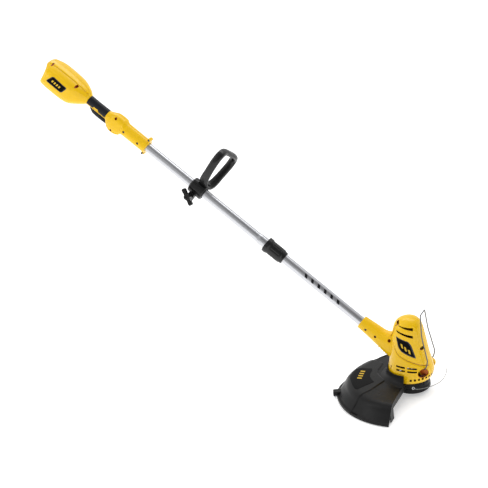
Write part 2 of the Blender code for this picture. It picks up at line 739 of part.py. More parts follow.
def bail():
    p = BAIL_PIVOT / MM
    half = [(p.x, -24.6, p.z), (p.x, -33.6, p.z), (p.x + 2.0, -35.4, p.z + 1.4), (57.6, -35.7, 92.4),
            (62.6, -35.5, 108.0), (63.3, -35.3, 111.6), (51.6, -29.8, 184.0), (51.3, -29.4, 187.0), (50.0, -20.6, 245.6),
            (50.0, -18.6, 247.0)]
    points = [mm(*key) for key in half]
    points.extend(mm(x, -y, z) for x, y, z in reversed(half))
    put(wire(points, BAIL_WIRE_R), "flower_guard", STEEL, None, BAIL_PIVOT)


# ---- guard --------------------------------------------------------------
def guard_rim(phi):
    """Outer radius of the shoulder, mm, at an angle from straight back."""
    narrowing = max(0.0, 10.0 - math.degrees(phi))
    return 191.0 - 0.55 * narrowing


def guard_profile(phi, inset):
    rim = guard_rim(phi)
    flare = 31.5 - 12.0 * max(0.0, min(1.0, (GUARD_TAPER - phi) / GUARD_TAPER))
    rows = [(54, 43.2), (66.6, 43.2), (68.4, 44.6), (69.6, 47.6), (72, 49.6), (90, 50.0),
            (160, 48.4), (rim - 10, 47.2), (rim - 3, 45.2), (rim + 1.5, 40.0),
            (rim + flare - 10.5, 12.0), (rim + flare - 8, 9.6), (rim + flare - 1, 9.0), (rim + flare, 1.0)]
    points = []
    for i, (radius, z) in enumerate(rows):
        before = rows[max(0, i - 1)]
        after = rows[min(len(rows) - 1, i + 1)]
        along = Vector((after[0] - before[0], after[1] - before[1])).normalized()
        normal = Vector((-along.y, along.x))
        points.append((radius - normal.x * inset, z - normal.y * inset))
    return points


def guard_grid(inset, steps):
    rows = []
    for i in range(steps + 1):
        phi = GUARD_FAR + (GUARD_NEAR - GUARD_FAR) * i / steps
        row = []
        for radius, z in guard_profile(phi, inset):
            row.append(Vector(mm(-radius * math.cos(phi), -radius * math.sin(phi), z)))
        rows.append(row)
    return rows


def collar_grid(inset, steps):
    """Upright wall of the guard round the foot of the head."""
    rows = []
    first = GUARD_FAR + COLLAR_TRIM
    sweep = GUARD_NEAR - GUARD_FAR - 2 * COLLAR_TRIM
    for i in range(steps + 1):
        phi = first + sweep * i / steps
        row = []
        for radius, z in ((69.6, 77.0), (70.4, 64.0), (72.4, 53.0), (75.0, 48.6)):
            reach = radius - inset
            row.append(Vector(mm(-reach * math.cos(phi), -reach * math.sin(phi), z)))
        rows.append(row)
    return rows


def debris_guard():
    guard = slab(guard_grid(0.0, 26), guard_grid(GUARD_WALL / MM, 26))
    join(guard, slab(collar_grid(0.0, 26), collar_grid(2.4, 26)))
    join(guard, block(mm(-2.8, -174, 32), mm(-0.02, -62, 47)))
    join(guard, block(mm(-2.8, -184, 1), mm(-0.02, -173, 46)))
    far = block(mm(-140, -3.2, 32), mm(-70, -0.3, 46))
    far.data.transform(Matrix.Rotation(GUARD_FAR, 4, "Z"))
    join(guard, far)
    tab = block(mm(-234, -11, 5), mm(-206, 11, 17), 1.5 * MM)
    tab.data.transform(Matrix.Rotation(CUTTER_TURN, 4, "Z"))
    join(guard, tab)
    slot = block(mm(-237, -12.3, 2.7), mm(-190, 12.3, 4.9))
    slot.data.transform(Matrix.Rotation(CUTTER_TURN, 4, "Z"))
    cut(guard, slot)
    for side in (-1, 1):
        hole = rod(mm(-228, 6 * side, 0), mm(-228, 6 * side, 12.6), 1.7 * MM, 12)
        hole.data.transform(Matrix.Rotation(CUTTER_TURN, 4, "Z"))
        cut(guard, hole)
    for turn_deg in (20, 70, -40):
        hole = rod(mm(-60, 0, 35), mm(-60, 0, 50), 2.3 * MM, 14)
        hole.data.transform(Matrix.Rotation(math.radians(turn_deg), 4, "Z"))
        cut(guard, hole)
    put(guard, "debris_guard", BLACK)
    blade = block(mm(-233, -10, 3.0), mm(-194, 10, 4.6))
    for side in (-1, 1):
        cut(blade, rod(mm(-228, 6 * side, 2), mm(-228, 6 * side, 6), 1.8 * MM, 14))
    blade.data.transform(Matrix.Rotation(CUTTER_TURN, 4, "Z"))
    put(blade, "line_cutter_blade", STEEL)
    for number, side in ((1, -1), (2, 1)):
        screw = rod(mm(-228, 6 * side, 1.2), mm(-228, 6 * side, 2.6), 3.0 * MM, 16)
        join(screw, rod(mm(-228, 6 * side, 2), mm(-228, 6 * side, 12), 1.4 * MM, 12))
        screw.data.transform(Matrix.Rotation(CUTTER_TURN, 4, "Z"))
        put(screw, "cutter_screw_%d" % number, DARK_STEEL)


def guard_screws():
    for number, turn_deg in ((1, 20), (2, 70), (3, -40)):
        screw = rod(mm(-60, 0, 38.4), mm(-60, 0, 40.3), 3.6 * MM, 18)
        join(screw, rod(mm(-60, 0, 40), mm(-60, 0, 45.4), 2.0 * MM, 12))
        screw.data.transform(Matrix.Rotation(math.radians(turn_deg), 4, "Z"))
        put(screw, "guard_screw_%d" % number, DARK_STEEL)


# ---- spool --------------------------------------------------------------
def spool():
    cup = lathe(ring_profile([(2.9, 38.5), (45, 38.5), (47.4, 37), (47.4, 23.4),
                              (50.2, 23.4), (50.2, 40), (48, 42.2), (2.9, 44.0)]), RING)
    spot = Matrix.Rotation(EYELET_TURN, 4, "Z")
    hole = rod(mm(44, 0, 28.5), mm(56, 0, 28.5), 3.9 * MM, 16)
    hole.data.transform(spot)
    cut(cup, hole)
    put(cup, "spool_housing", BLACK)
    cover = lathe(ring_profile([(22, 8.6), (44, 7.6), (48.5, 8.6), (51, 12.0), (51, 23.0),
                                (47.4, 23.0), (47.4, 14.6), (44, 12.6), (22, 12.6)]), RING)
    put(cover, "spool_cover", BLACK)
    eyelet = lathe(ring_profile([(1.5, 46.6), (3.5, 46.6), (3.5, 50.6), (4.6, 51.0), (4.6, 52.2),
                                 (1.9, 52.2)]), 14)
    eyelet.data.transform(spot @ Matrix.Translation(mm(0, 0, 28.5)) @ Matrix.Rotation(math.radians(90), 4, "Y"))
    put(eyelet, "line_eyelet", STEEL)
    reel = lathe(ring_profile([(22.4, 13.2), (26, 13.2), (26, 15.2), (43, 15.2), (43, 16.8), (26, 16.8),
                               (26, 31.0), (43, 31.0), (43, 32.6), (22.4, 32.6)]), RING)
    put(reel, "line_reel", BLACK)
    wound = lathe(ring_profile([(26.3, 17.2), (38.4, 17.2), (39.6, 19.4), (39.6, 28.6), (38.4, 30.7),
                                (26.3, 30.7)]), RING)
    put(wound, "wound_line", NYLON)
    knob = lathe(ring_profile([(0, 0), (12, 0), (17.5, 1.4), (20.5, 5), (21.6, 10), (21.6, 14.6),
                               (16, 14.6), (16, 13.0), (0, 13.0)]), RING, False)
    put(knob, "bump_knob", BLACK)
    spring = coil(7.6 * MM, 0.8 * MM, 14.2 * MM, 37.4 * MM, 3)
    put(spring, "bump_spring", STEEL)


def cutting_line():
    way = [(46, -69.5, 28.5), (52, -69.5, 28.5), (56.5, -67.5, 28.6), (60, -61, 28.6), (62.5, -49, 28.6),
           (66, -33, 28.5), (72, -17, 28.3), (80, 0, 28.0), (88, 16, 27.6), (97, 30, 27.2),
           (108, 42, 26.8), (116, 49, 26.4)]
    keys = []
    for radius, turn, z in way:
        angle = math.radians(turn)
        keys.append(Vector(mm(radius * math.cos(angle), radius * math.sin(angle), z)))
    put(wire(smooth_path(keys, 3), LINE_R, 2), "cutting_line", NYLON, None, keys[0])


upper_tube()
lower_tube()
cables()
lock_collar()
collet_and_bush()
loop_handle()
clamp_fastener()
rear_housing(-1, "rear_housing_right")
rear_housing(1, "rear_housing_left")
grip_cover(-1, "grip_cover_right")
grip_cover(1, "grip_cover_left")
rear_screws()
rear_insides()
trigger()
battery()
head_housing(-1, "head_housing_right")
head_housing(1, "head_housing_left")
head_screws()
motor()
bail()
debris_guard()
guard_screws()
spool()
cutting_line()
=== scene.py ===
"""Looks of the cordless string trimmer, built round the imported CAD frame."""

import json
from math import atan2, copysign, cos, degrees, hypot, pi, radians, sin, sqrt

import bmesh
import bpy
import numpy as np
from mathutils import Matrix, Vector

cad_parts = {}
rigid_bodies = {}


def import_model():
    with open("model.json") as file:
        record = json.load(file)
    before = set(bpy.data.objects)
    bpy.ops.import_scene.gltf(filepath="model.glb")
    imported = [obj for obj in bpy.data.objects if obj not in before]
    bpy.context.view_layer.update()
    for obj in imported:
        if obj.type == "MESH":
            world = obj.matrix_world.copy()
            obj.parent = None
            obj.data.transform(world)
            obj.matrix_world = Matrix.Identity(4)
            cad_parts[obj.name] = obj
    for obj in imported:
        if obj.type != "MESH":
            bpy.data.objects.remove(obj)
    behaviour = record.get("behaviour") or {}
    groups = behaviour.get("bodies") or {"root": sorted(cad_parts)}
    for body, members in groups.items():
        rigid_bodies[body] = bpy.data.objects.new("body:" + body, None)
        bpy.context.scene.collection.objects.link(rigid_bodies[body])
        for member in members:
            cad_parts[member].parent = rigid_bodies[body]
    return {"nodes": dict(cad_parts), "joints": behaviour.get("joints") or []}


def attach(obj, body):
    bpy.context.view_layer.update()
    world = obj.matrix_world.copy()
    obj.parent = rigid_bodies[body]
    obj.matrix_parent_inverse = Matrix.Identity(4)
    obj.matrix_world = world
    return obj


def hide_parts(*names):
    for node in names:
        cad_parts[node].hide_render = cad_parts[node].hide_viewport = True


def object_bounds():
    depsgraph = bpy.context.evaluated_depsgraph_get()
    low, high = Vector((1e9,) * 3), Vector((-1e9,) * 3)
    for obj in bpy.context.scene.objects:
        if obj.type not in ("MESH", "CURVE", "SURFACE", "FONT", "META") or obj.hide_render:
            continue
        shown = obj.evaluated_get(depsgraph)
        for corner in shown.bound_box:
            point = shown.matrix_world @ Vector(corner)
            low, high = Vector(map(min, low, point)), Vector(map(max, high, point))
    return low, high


for old in list(bpy.data.objects):
    bpy.data.objects.remove(old, do_unlink=True)
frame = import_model()
CAD_LOW, CAD_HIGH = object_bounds()

MM = 0.001
JOINTS = {joint["name"]: joint for joint in frame["joints"]}

# ---- frames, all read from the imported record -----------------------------
REARWARD = Vector(JOINTS["collar_twist"]["axis"]).normalized()
LEFTWARD = Vector((0, 1, 0))
UPWARD = LEFTWARD.cross(REARWARD)
AXIS_POINT = Vector(JOINTS["collar_twist"]["pos_m"])
FOOT = AXIS_POINT - REARWARD * (AXIS_POINT.x / REARWARD.x)
BAIL_PIVOT = Vector(JOINTS["flower_guard_fold"]["pos_m"])
LOOP_CENTRE = Vector(JOINTS["front_handle_turn"]["pos_m"])
KNOB_AXIS = Vector(JOINTS["clamp_knob_turn"]["axis"]).normalized()


def frame_at(x_axis, y_axis, z_axis, origin):
    rows = [(x_axis[i], y_axis[i], z_axis[i], origin[i]) for i in range(3)]
    return Matrix((*rows, (0, 0, 0, 1)))


SHAFT = frame_at(UPWARD, LEFTWARD, REARWARD, FOOT)
LOOP = frame_at(KNOB_AXIS.cross(REARWARD), KNOB_AXIS, REARWARD, LOOP_CENTRE)
WORLD = Matrix.Identity(4)


# ---- camera --------------------------------------------------------------
def make_camera():
    azimuth, elevation, roll = radians(29.5), radians(20.0), radians(9.07)
    back = Vector((sin(azimuth) * cos(elevation),
                   -cos(azimuth) * cos(elevation), sin(elevation)))
    right = Vector((cos(azimuth), sin(azimuth), 0.0))
    up = back.cross(right)
    x_axis = right * cos(roll) - up * sin(roll)
    y_axis = right * sin(roll) + up * cos(roll)
    data = bpy.data.cameras.new("view")
    data.sensor_width = 36.0
    data.lens = 77.4
    data.clip_start = 0.05
    data.clip_end = 100.0
    aim, distance = Vector((-0.48492, 0, 0.43862)), 3.136
    camera = bpy.data.objects.new("view", data)
    bpy.context.scene.collection.objects.link(camera)
    camera.matrix_world = frame_at(x_axis, y_axis, back, aim + back * distance)
    bpy.context.scene.camera = camera


make_camera()


# ---- materials -----------------------------------------------------------
def fill(node, **values):
    """Set a node's input sockets, or its properties, by name; a blank in a name is written as _."""
    for name, value in values.items():
        socket = node.inputs.get(name.replace("_", " "))
        if socket is None:
            setattr(node, name, value)
        else:
            socket.default_value = value
    return node


def surface(name, colour, roughness, metallic=0.0, coat=0.0, coat_roughness=0.1, ior=1.5, vary=0.10,
            grain=1400.0, bump=0.12, spread=0.08, wear=0.12, stretch=(1, 1, 1), transmission=0.0,
            blotch=9.0, hollow_shade=None, specular=0.5):
    """Principled material: blotchy colour, uneven gloss, fine moulded or drawn grain, paler edges, and
    painted shade in concave hollows when a shade colour is given.
    """
    mat = bpy.data.materials.new(name)
    mat.use_nodes = True
    tree = mat.node_tree
    link = tree.links.new
    shader = fill(tree.nodes["Principled BSDF"], Metallic=metallic, IOR=ior, Specular_IOR_Level=specular,
                  Coat_Weight=coat, Coat_Roughness=coat_roughness, Transmission_Weight=transmission)

    def node(kind, **values):
        return fill(tree.nodes.new(kind), **values)

    mapping = node("ShaderNodeMapping", Scale=stretch)
    link(node("ShaderNodeTexCoord").outputs["Object"], mapping.inputs["Vector"])

    def noise(scale, detail):
        made = node("ShaderNodeTexNoise", Scale=scale, Detail=detail, Roughness=0.6)
        link(mapping.outputs["Vector"], made.inputs["Vector"])
        return made.outputs["Fac"]

    def remap(value, low, high, to_low, to_high):
        made = node("ShaderNodeMapRange", From_Min=low, From_Max=high, To_Min=to_low, To_Max=to_high)
        link(value, made.inputs["Value"])
        return made.outputs["Result"]

    def mix(factor, under, over):
        made = node("ShaderNodeMix", data_type="RGBA")
        sockets = {(socket.type, socket.name): socket for socket in made.inputs}
        link(under, sockets["RGBA", "A"])
        sockets["RGBA", "B"].default_value = (*over, 1.0)
        link(factor, sockets["VALUE", "Factor"])
        return [socket for socket in made.outputs if socket.type == "RGBA"][0]

    ramp = node("ShaderNodeValToRGB")
    dark = [c * (1.0 - vary) for c in colour]
    light = [min(1.0, c * (1.0 + vary * 0.7)) for c in colour]
    for stop, place, tone in zip(ramp.color_ramp.elements, (0.3, 0.7), (dark, light)):
        stop.position = place
        stop.color = (*tone, 1.0)
    link(noise(blotch, 5.0), ramp.inputs["Fac"])
    point = node("ShaderNodeNewGeometry").outputs["Pointiness"]
    shown = ramp.outputs["Color"]
    # painted shade: concave spots, where Pointiness is low, are mixed towards the shade colour
    if hollow_shade is not None:
        shown = mix(remap(point, 0.485, 0.44, 0.0, 0.85), shown, hollow_shade)
    if wear:
        shown = mix(remap(point, 0.54, 0.66, 0.0, wear), shown, [c + (1.0 - c) * 0.4 for c in colour])
    link(shown, shader.inputs["Base Color"])
    glossy, matt = max(0.03, roughness - spread), min(1.0, roughness + spread)
    link(remap(noise(grain * 0.08, 6.0), 0.3, 0.7, glossy, matt), shader.inputs["Roughness"])
    relief = node("ShaderNodeBump", Strength=bump, Distance=0.0002)
    link(noise(grain, 3.0), relief.inputs["Height"])
    link(relief.outputs["Normal"], shader.inputs["Normal"])
    return mat


# the dark orange shade colour paints shade into the yellow's creases and hollows
YELLOW = surface("yellow_abs", (0.90, 0.55, 0.004), 0.20, specular=0.30, coat=0.08, coat_roughness=0.08,
                 vary=0.03, grain=1500, bump=0.04, spread=0.03, wear=0.10, hollow_shade=(0.42, 0.15, 0.010))
# painted shade: brown given to the faces along the head panel's step, standing in for the shade in that
# crease
GROOVE_SHADE = surface("painted_groove_shade", (0.40, 0.17, 0.006), 0.45, vary=0.1, bump=0.05)
# painted shade: dark orange-red for the walls of screw holes and slots, where shade falls
RECESS_SHADE = surface("painted_recess_shade", (0.36, 0.055, 0.008), 0.45, vary=0.2, bump=0.1)
# painted shade: orange for the walls of the bail cups, where shade falls
CUP_SHADE = surface("painted_cup_shade", (0.62, 0.15, 0.012), 0.40, vary=0.12, bump=0.1)
# painted shade: near-black brown for deep holes, slots and vents, and the sheet behind the square holes
HOLE_SHADE = surface("painted_hole_shade", (0.070, 0.016, 0.006), 0.7, vary=0.3)
BLACK = surface("black_nylon", (0.008, 0.008, 0.0082), 0.36, vary=0.15, grain=1500, bump=0.20,
                spread=0.06, wear=0.02, specular=0.17)
SATIN = surface("black_satin", (0.006, 0.006, 0.0062), 0.28, vary=0.15, grain=1200, bump=0.10,
                spread=0.05, wear=0.02, specular=0.42)
LABEL = surface("label_black", (0.0012, 0.0012, 0.0014), 0.35, vary=0.1, grain=700, bump=0.02,
                spread=0.04, wear=0.0, specular=0.06)
FRAME_GREY = surface("label_edge", (0.040, 0.042, 0.058), 0.40, vary=0.1, bump=0.05, wear=0.0, specular=0.3)
MARK = surface("label_mark", (0.72, 0.47, 0.03), 0.5, vary=0.08, bump=0.05, wear=0.0, specular=0.2)
TUBE_MARK = surface("tube_print", (0.008, 0.008, 0.010), 0.5, vary=0.12, bump=0.05, wear=0.0, specular=0.2)
RUBBER = surface("grip_rubber", (0.006, 0.0075, 0.0115), 0.42, vary=0.2, grain=2100, bump=0.4,
                 spread=0.06, wear=0.02, specular=0.30)
ALUMINIUM = surface("drawn_aluminium", (0.58, 0.585, 0.61), 0.28, metallic=1.0, vary=0.02, grain=1600,
                    bump=0.02, spread=0.03, wear=0.0, stretch=(1, 1, 0.012), blotch=160)
STEEL = surface("drawn_steel", (0.42, 0.43, 0.45), 0.24, metallic=1.0, vary=0.15, grain=1200, bump=0.12,
                spread=0.06)
WIRE_STEEL = surface("bent_wire", (0.15, 0.155, 0.16), 0.36, metallic=1.0, vary=0.15, grain=1200,
                     bump=0.12, spread=0.06, wear=0.05)
DARK_STEEL = surface("dark_screw", (0.09, 0.105, 0.14), 0.34, metallic=0.9, vary=0.2, grain=900,
                     bump=0.2, wear=0.2)
BOARD = surface("circuit_board", (0.03, 0.16, 0.06), 0.5, vary=0.2, blotch=300)
NYLON = surface("nylon_line", (0.24, 0.245, 0.245), 0.25, vary=0.06, transmission=0.1, ior=1.53,
                bump=0.05, wear=0.0)


# ---- mesh helpers --------------------------------------------------------
def mm(*values):
    return Vector(values) * MM


def linked(obj):
    bpy.context.scene.collection.objects.link(obj)
    return obj


def loose(mesh, material=None):
    if material is not None:
        mesh.materials.clear()
        mesh.materials.append(material)
    return linked(bpy.data.objects.new(mesh.name, mesh))


def mesh_of(name, bm):
    mesh = bpy.data.meshes.new(name)
    bm.to_mesh(mesh)
    bm.free()
    return mesh


WELD = 2e-6


def tidy(mesh):
    """Weld, drop empty faces and point the normals outward."""
    bm = bmesh.new()
    bm.from_mesh(mesh)
    bmesh.ops.remove_doubles(bm, verts=bm.verts, dist=WELD)
    bmesh.ops.dissolve_degenerate(bm, dist=WELD, edges=bm.edges)
    bmesh.ops.recalc_face_normals(bm, faces=bm.faces)
    if bm.calc_volume(signed=True) < 0.0:
        bmesh.ops.reverse_faces(bm, faces=bm.faces)
    bm.to_mesh(mesh)
    bm.free()
    return mesh


def strips(rows, count, wrap=True, close=False):
    """Quads between rows of equal length; close joins the last row to the first."""
    for i in range(rows if close else rows - 1):
        after = (i + 1) % rows
        for j in range(count if wrap else count - 1):
            k = (j + 1) % count
            yield i * count + j, i * count + k, after * count + k, after * count + j


def meshed(name, points, faces, material):
    mesh = bpy.data.meshes.new(name)
    mesh.from_pydata([tuple(point) for point in points], [], faces)
    return loose(tidy(mesh), material)


def skin(rings, material, cap=True, wrap=True, close=False):
    """Skin over rings of equal length."""
    count = len(rings[0])
    faces = list(strips(len(rings), count, wrap, close))
    if cap and not close:
        last = (len(rings) - 1) * count
        faces.append(tuple(range(count)))
        faces.append(tuple(last + j for j in range(count)))
    return meshed("skin", [point for ring in rings for point in ring], faces, material)


def rounded(points, reach, steps=3, closed=True):
    """Fillet the corners of a 2-D outline."""
    out = []
    count = len(points)
    for i in range(count):
        here = Vector(points[i])
        if not closed and i in (0, count - 1):
            out.append(here)
            continue
        before = Vector(points[i - 1]) - here
        after = Vector(points[(i + 1) % count]) - here
        a = here + before.normalized() * min(reach, before.length * 0.45)
        b = here + after.normalized() * min(reach, after.length * 0.45)
        for k in range(steps + 1):
            t = k / steps
            out.append(a * (1 - t) ** 2 + here * (2 * t * (1 - t)) + b * t * t)
    return out


def refined(points, gap, closed=True):
    """Extra points along an outline, about gap apart."""
    fine = []
    for here, after in zip(points, points[1:] + points[:1] if closed else points[1:]):
        parts = max(1, int((after - here).length / gap))
        fine.extend(here.lerp(after, k / parts) for k in range(parts))
    return fine if closed else fine + [points[-1]]


def lathe(profile, material, count=96, fillet=0.5, open_profile=False):
    """Turn an (radius, z) outline in mm about Z."""
    outline = rounded(profile, fillet, closed=not open_profile)
    rings = []
    for i in range(count):
        angle = 2 * pi * i / count
        rings.append([mm(p[0] * cos(angle), p[0] * sin(angle), p[1]) for p in outline])
    return skin(rings, material, cap=False, wrap=not open_profile, close=True)


def block(low, high, material, bevel=0.0, segments=3):
    """Box between two corners in m, with its edges rounded by bevel in mm."""
    bm = bmesh.new()
    bmesh.ops.create_cube(bm, size=1.0)
    for vert in bm.verts:
        for axis in range(3):
            vert.co[axis] = high[axis] if vert.co[axis] > 0 else low[axis]
    if bevel:
        bmesh.ops.bevel(bm, geom=bm.edges[:], offset=bevel * MM, segments=segments, profile=0.5,
                        affect="EDGES", clamp_overlap=True)
    return loose(tidy(mesh_of("block", bm)), material)


def rod(start, end, radius, material, count=40, bevel=0.0):
    """Cylinder between two points in m; radius and bevel in mm."""
    along = end - start
    bm = bmesh.new()
    bmesh.ops.create_cone(bm, cap_ends=True, segments=count, radius1=radius * MM, radius2=radius * MM,
                          depth=along.length)
    if bevel:
        rims = [e for e in bm.edges if len(e.link_faces) == 2 and e.calc_face_angle(0) > 0.7]
        bmesh.ops.bevel(bm, geom=rims, offset=bevel * MM, segments=3, profile=0.5, affect="EDGES")
    mesh = mesh_of("rod", bm)
    turn = along.normalized().to_track_quat("Z", "Y").to_matrix().to_4x4()
    mesh.transform(Matrix.Translation((start + end) / 2) @ turn)
    return loose(mesh, material)


def moved(obj, matrix):
    """Move an object's mesh, not its origin."""
    obj.data.transform(matrix)
    return obj


def about(axis, turn):
    return Matrix.Rotation(radians(turn), 4, axis)


def turned(obj, turn):
    """Turn an object's mesh about Z, in degrees."""
    return moved(obj, about("Z", turn))


def apply(obj):
    graph = bpy.context.evaluated_depsgraph_get()
    mesh = bpy.data.meshes.new_from_object(obj.evaluated_get(graph))
    obj.modifiers.clear()
    obj.data = mesh
    return obj


def merge(objects):
    """One object out of several that don't touch."""
    first = objects[0]
    bm = bmesh.new()
    slots = []
    for obj in objects:
        used = list(obj.data.materials)
        for mat in used:
            if mat not in slots:
                slots.append(mat)
        start = len(bm.faces)
        bm.from_mesh(obj.data)
        bm.faces.ensure_lookup_table()
        for face in bm.faces[start:]:
            face.material_index = slots.index(used[face.material_index])
    mesh = mesh_of("merged", bm)
    for mat in slots:
        mesh.materials.append(mat)
    for obj in objects[1:]:
        bpy.data.objects.remove(obj, do_unlink=True)
    first.data = mesh
    return first


def volume(mesh):
    bm = bmesh.new()
    bm.from_mesh(mesh)
    size = bm.calc_volume(signed=True)
    bm.free()
    return size


LEAST_LEFT, LEAST_JOINED = 0.6, 0.995


def boolean(obj, others, operation):
    """Exact boolean; a result that lost most of the object is made again with self-overlap handling."""
    other = merge(others) if len(others) > 1 else others[0]
    kept = obj.data
    least = volume(kept) * (LEAST_LEFT if operation == "DIFFERENCE" else LEAST_JOINED)
    for overlap in (False, True):
        obj.data = kept
        mod = obj.modifiers.new("bool", "BOOLEAN")
        mod.operation = operation
        mod.solver = "EXACT"
        mod.use_self = overlap
        mod.material_mode = "TRANSFER"
        mod.object = other
        apply(obj)
        if volume(obj.data) > least:
            break
    else:
        obj.data = kept
    bpy.data.objects.remove(other, do_unlink=True)
    return obj


def cut(obj, *others):
    return boolean(obj, list(others), "DIFFERENCE")


def join(obj, *others):
    for other in others:
        boolean(obj, [other], "UNION")
    return obj


def put(obj, name, body, nodes=(), matrix=WORLD, sharp=32.0):
    obj.name = name
    obj.data.name = name
    obj.matrix_world = matrix
    if obj.type == "MESH":
        tidy(obj.data)
        obj.data.shade_smooth()
        obj.data.set_sharp_from_angle(angle=radians(sharp))
        shade = obj.modifiers.new("shade", "WEIGHTED_NORMAL")
        shade.keep_sharp = True
    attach(obj, body)
    if nodes:
        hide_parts(*nodes)
    return obj


def smooth_path(keys, per=6, closed=False):
    """Catmull-Rom points through the keys."""
    keys = [Vector(key) for key in keys]
    count = len(keys)
    out = []
    for i in range(count if closed else count - 1):
        near = [i + j if not closed else (i + j) % count for j in (-1, 0, 1, 2)]
        p = [keys[max(0, min(count - 1, j))] for j in near]
        for k in range(per):
            t = k / per
            out.append(0.5 * (2 * p[1] + (p[2] - p[0]) * t
                              + (2 * p[0] - 5 * p[1] + 4 * p[2] - p[3]) * t * t
                              + (3 * p[1] - p[0] - 3 * p[2] + p[3]) * t ** 3))
    if not closed:
        out.append(keys[-1])
    return out


def tube_curve(points, radius, material, resolution):
    """Round wire along points in m; radius in mm."""
    data = bpy.data.curves.new("wire", "CURVE")
    data.dimensions = "3D"
    spline = data.splines.new("POLY")
    spline.points.add(len(points) - 1)
    for point, spot in zip(spline.points, points):
        point.co = (*spot, 1.0)
    data.bevel_depth = radius * MM
    data.bevel_resolution = resolution
    data.use_fill_caps = True
    data.materials.append(material)
    return linked(bpy.data.objects.new("wire", data))


def monotone(x, y, at):
    """Smooth interpolation that never overshoots its keys."""
    x, y, at = np.asarray(x, float), np.asarray(y, float), np.asarray(at, float)
    width = np.diff(x)
    slope = np.diff(y) / width
    grade = np.zeros_like(y)
    same = slope[:-1] * slope[1:] > 0
    total = np.where(same, slope[:-1] + slope[1:], 1.0)
    grade[1:-1] = np.where(same, 2 * slope[:-1] * slope[1:] / total, 0.0)
    grade[0], grade[-1] = slope[0], slope[-1]
    i = np.clip(np.searchsorted(x, at, side="right") - 1, 0, len(width) - 1)
    t = (at - x[i]) / width[i]
    h = width[i]
    return ((2 * t ** 3 - 3 * t ** 2 + 1) * y[i] + (t ** 3 - 2 * t ** 2 + t) * h * grade[i]
            + (3 * t ** 2 - 2 * t ** 3) * y[i + 1] + (t ** 3 - t ** 2) * h * grade[i + 1])


def table_at(table, at):
    keys = np.asarray(table, float)
    return np.stack([monotone(keys[:, 0], keys[:, k], at) for k in range(1, keys.shape[1])], 1)


def distance_to(points, line, closed=False):
    """Distance of 2-D points to a polyline."""
    line = np.asarray(line, float)
    best = np.full(len(points), 1e9)
    for i in range(len(line) if closed else len(line) - 1):
        a, b = line[i], line[(i + 1) % len(line)]
        along = b - a
        t = np.clip(((points - a) @ along) / (along @ along), 0, 1)
        best = np.minimum(best, np.linalg.norm(points - a - t[:, None] * along, axis=1))
    return best


def inside(points, outline):
    outline = np.asarray(outline, float)
    found = np.zeros(len(points), bool)
    for i in range(len(outline)):
        a, b = outline[i - 1], outline[i]
        spans = (a[1] > points[:, 1]) != (b[1] > points[:, 1])
        rise = b[1] - a[1] if abs(b[1] - a[1]) > 1e-12 else 1e-12
        cross = (b[0] - a[0]) * (points[:, 1] - a[1]) / rise + a[0]
        found ^= spans & (points[:, 0] < cross)
    return found


def groove(points, line, width, depth, closed=False):
    return -depth * np.exp(-(distance_to(points, line, closed) / width) ** 2)


def step(value, soft):
    """Smooth rise from 0 to 1 around value 0, soft wide."""
    share = np.clip(value / soft + 0.5, 0, 1)
    return share * share * (3 - 2 * share)


def plateau(points, outline, height, soft):
    gap = distance_to(points, outline, True)
    return height * step(np.where(inside(points, outline), gap, -gap), soft)


def relief(obj, field, heart):
    """Push each vertex out by field(points in mm), in mm; a shell's inner skin follows its outer one."""
    mesh = obj.data
    spots = np.empty(len(mesh.vertices) * 3, np.float32)
    normals = np.empty_like(spots)
    mesh.vertices.foreach_get("co", spots)
    mesh.vertex_normals.foreach_get("vector", normals)
    spots, normals = spots.reshape(-1, 3).astype(float), normals.reshape(-1, 3)
    outward = np.sign((normals * (spots / MM - np.asarray(heart(spots / MM)))).sum(1))
    spots += normals * (outward * field(spots / MM))[:, None] * MM
    mesh.vertices.foreach_set("co", spots.astype(np.float32).ravel())
    mesh.update()


def tint(obj, line, reach, where, mat):
    """Gives the faces along a line drawn in x and z another material."""
    centres = np.array([face.center for face in obj.data.polygons]) / MM
    near = (np.abs(distance_to(centres[:, [0, 2]], line)) < reach) & where(centres)
    obj.data.materials.append(mat)
    for k in np.flatnonzero(near):
        obj.data.polygons[int(k)].material_index = len(obj.data.materials) - 1


def own_axis(points):
    """Nearest point on the local Z axis."""
    return points * np.array([0.0, 0.0, 1.0])


def prism(outline, low, high, material, fillet=1.0):
    """Solid between two Y planes with an outline in (x, z), mm."""
    ring = rounded(outline, fillet, 3)
    return skin([[mm(p[0], y, p[1]) for p in ring] for y in (low, high)], material)


def plate(outline, surface_at, material, fillet=2.0, lift=0.9, rings=7):
    """Thin raised plate with a rounded edge that follows a surface."""
    fine = refined(rounded(outline, fillet, 4), 2.5)
    centre = sum((Vector(p) for p in fine), Vector((0, 0))) / len(fine)
    levels = [(1, -1.2), (1.0, lift * 0.6), (0.985, lift)]
    levels += [(0.985 * (1 - k / rings), lift) for k in range(1, rings)]
    points = [surface_at(*(centre + (p - centre) * scale), height) for scale, height in levels for p in fine]
    points.append(surface_at(*centre, lift))
    count = len(fine)
    last = (len(levels) - 1) * count
    faces = list(strips(len(levels), count))
    faces.extend((last + j, last + (j + 1) % count, len(points) - 1) for j in range(count))
    faces.append(tuple(reversed(range(count))))
    return meshed("plate", points, faces, material)


def label(prefix, layers, marks, over, mark_shape, body="lower_shaft", matrix=WORLD):
    """Flat printed label: its layers from the bottom up, then a row of plain marks."""
    for name, outline, look, *shape in layers:
        put(plate(outline, over, look, *shape), prefix + name, body, (), matrix)
    bars = [plate(mark, over, MARK, *mark_shape, 3) for mark in marks]
    put(merge(bars), prefix + "_marks", body, (), matrix)


def swollen(angle, power):
    """Cosine and sine of an angle, raised to a power with their signs kept."""
    return [copysign(abs(value) ** power, value) for value in (cos(angle), sin(angle))]


# ---- tubes ---------------------------------------------------------------
TUBE_R = 14.0


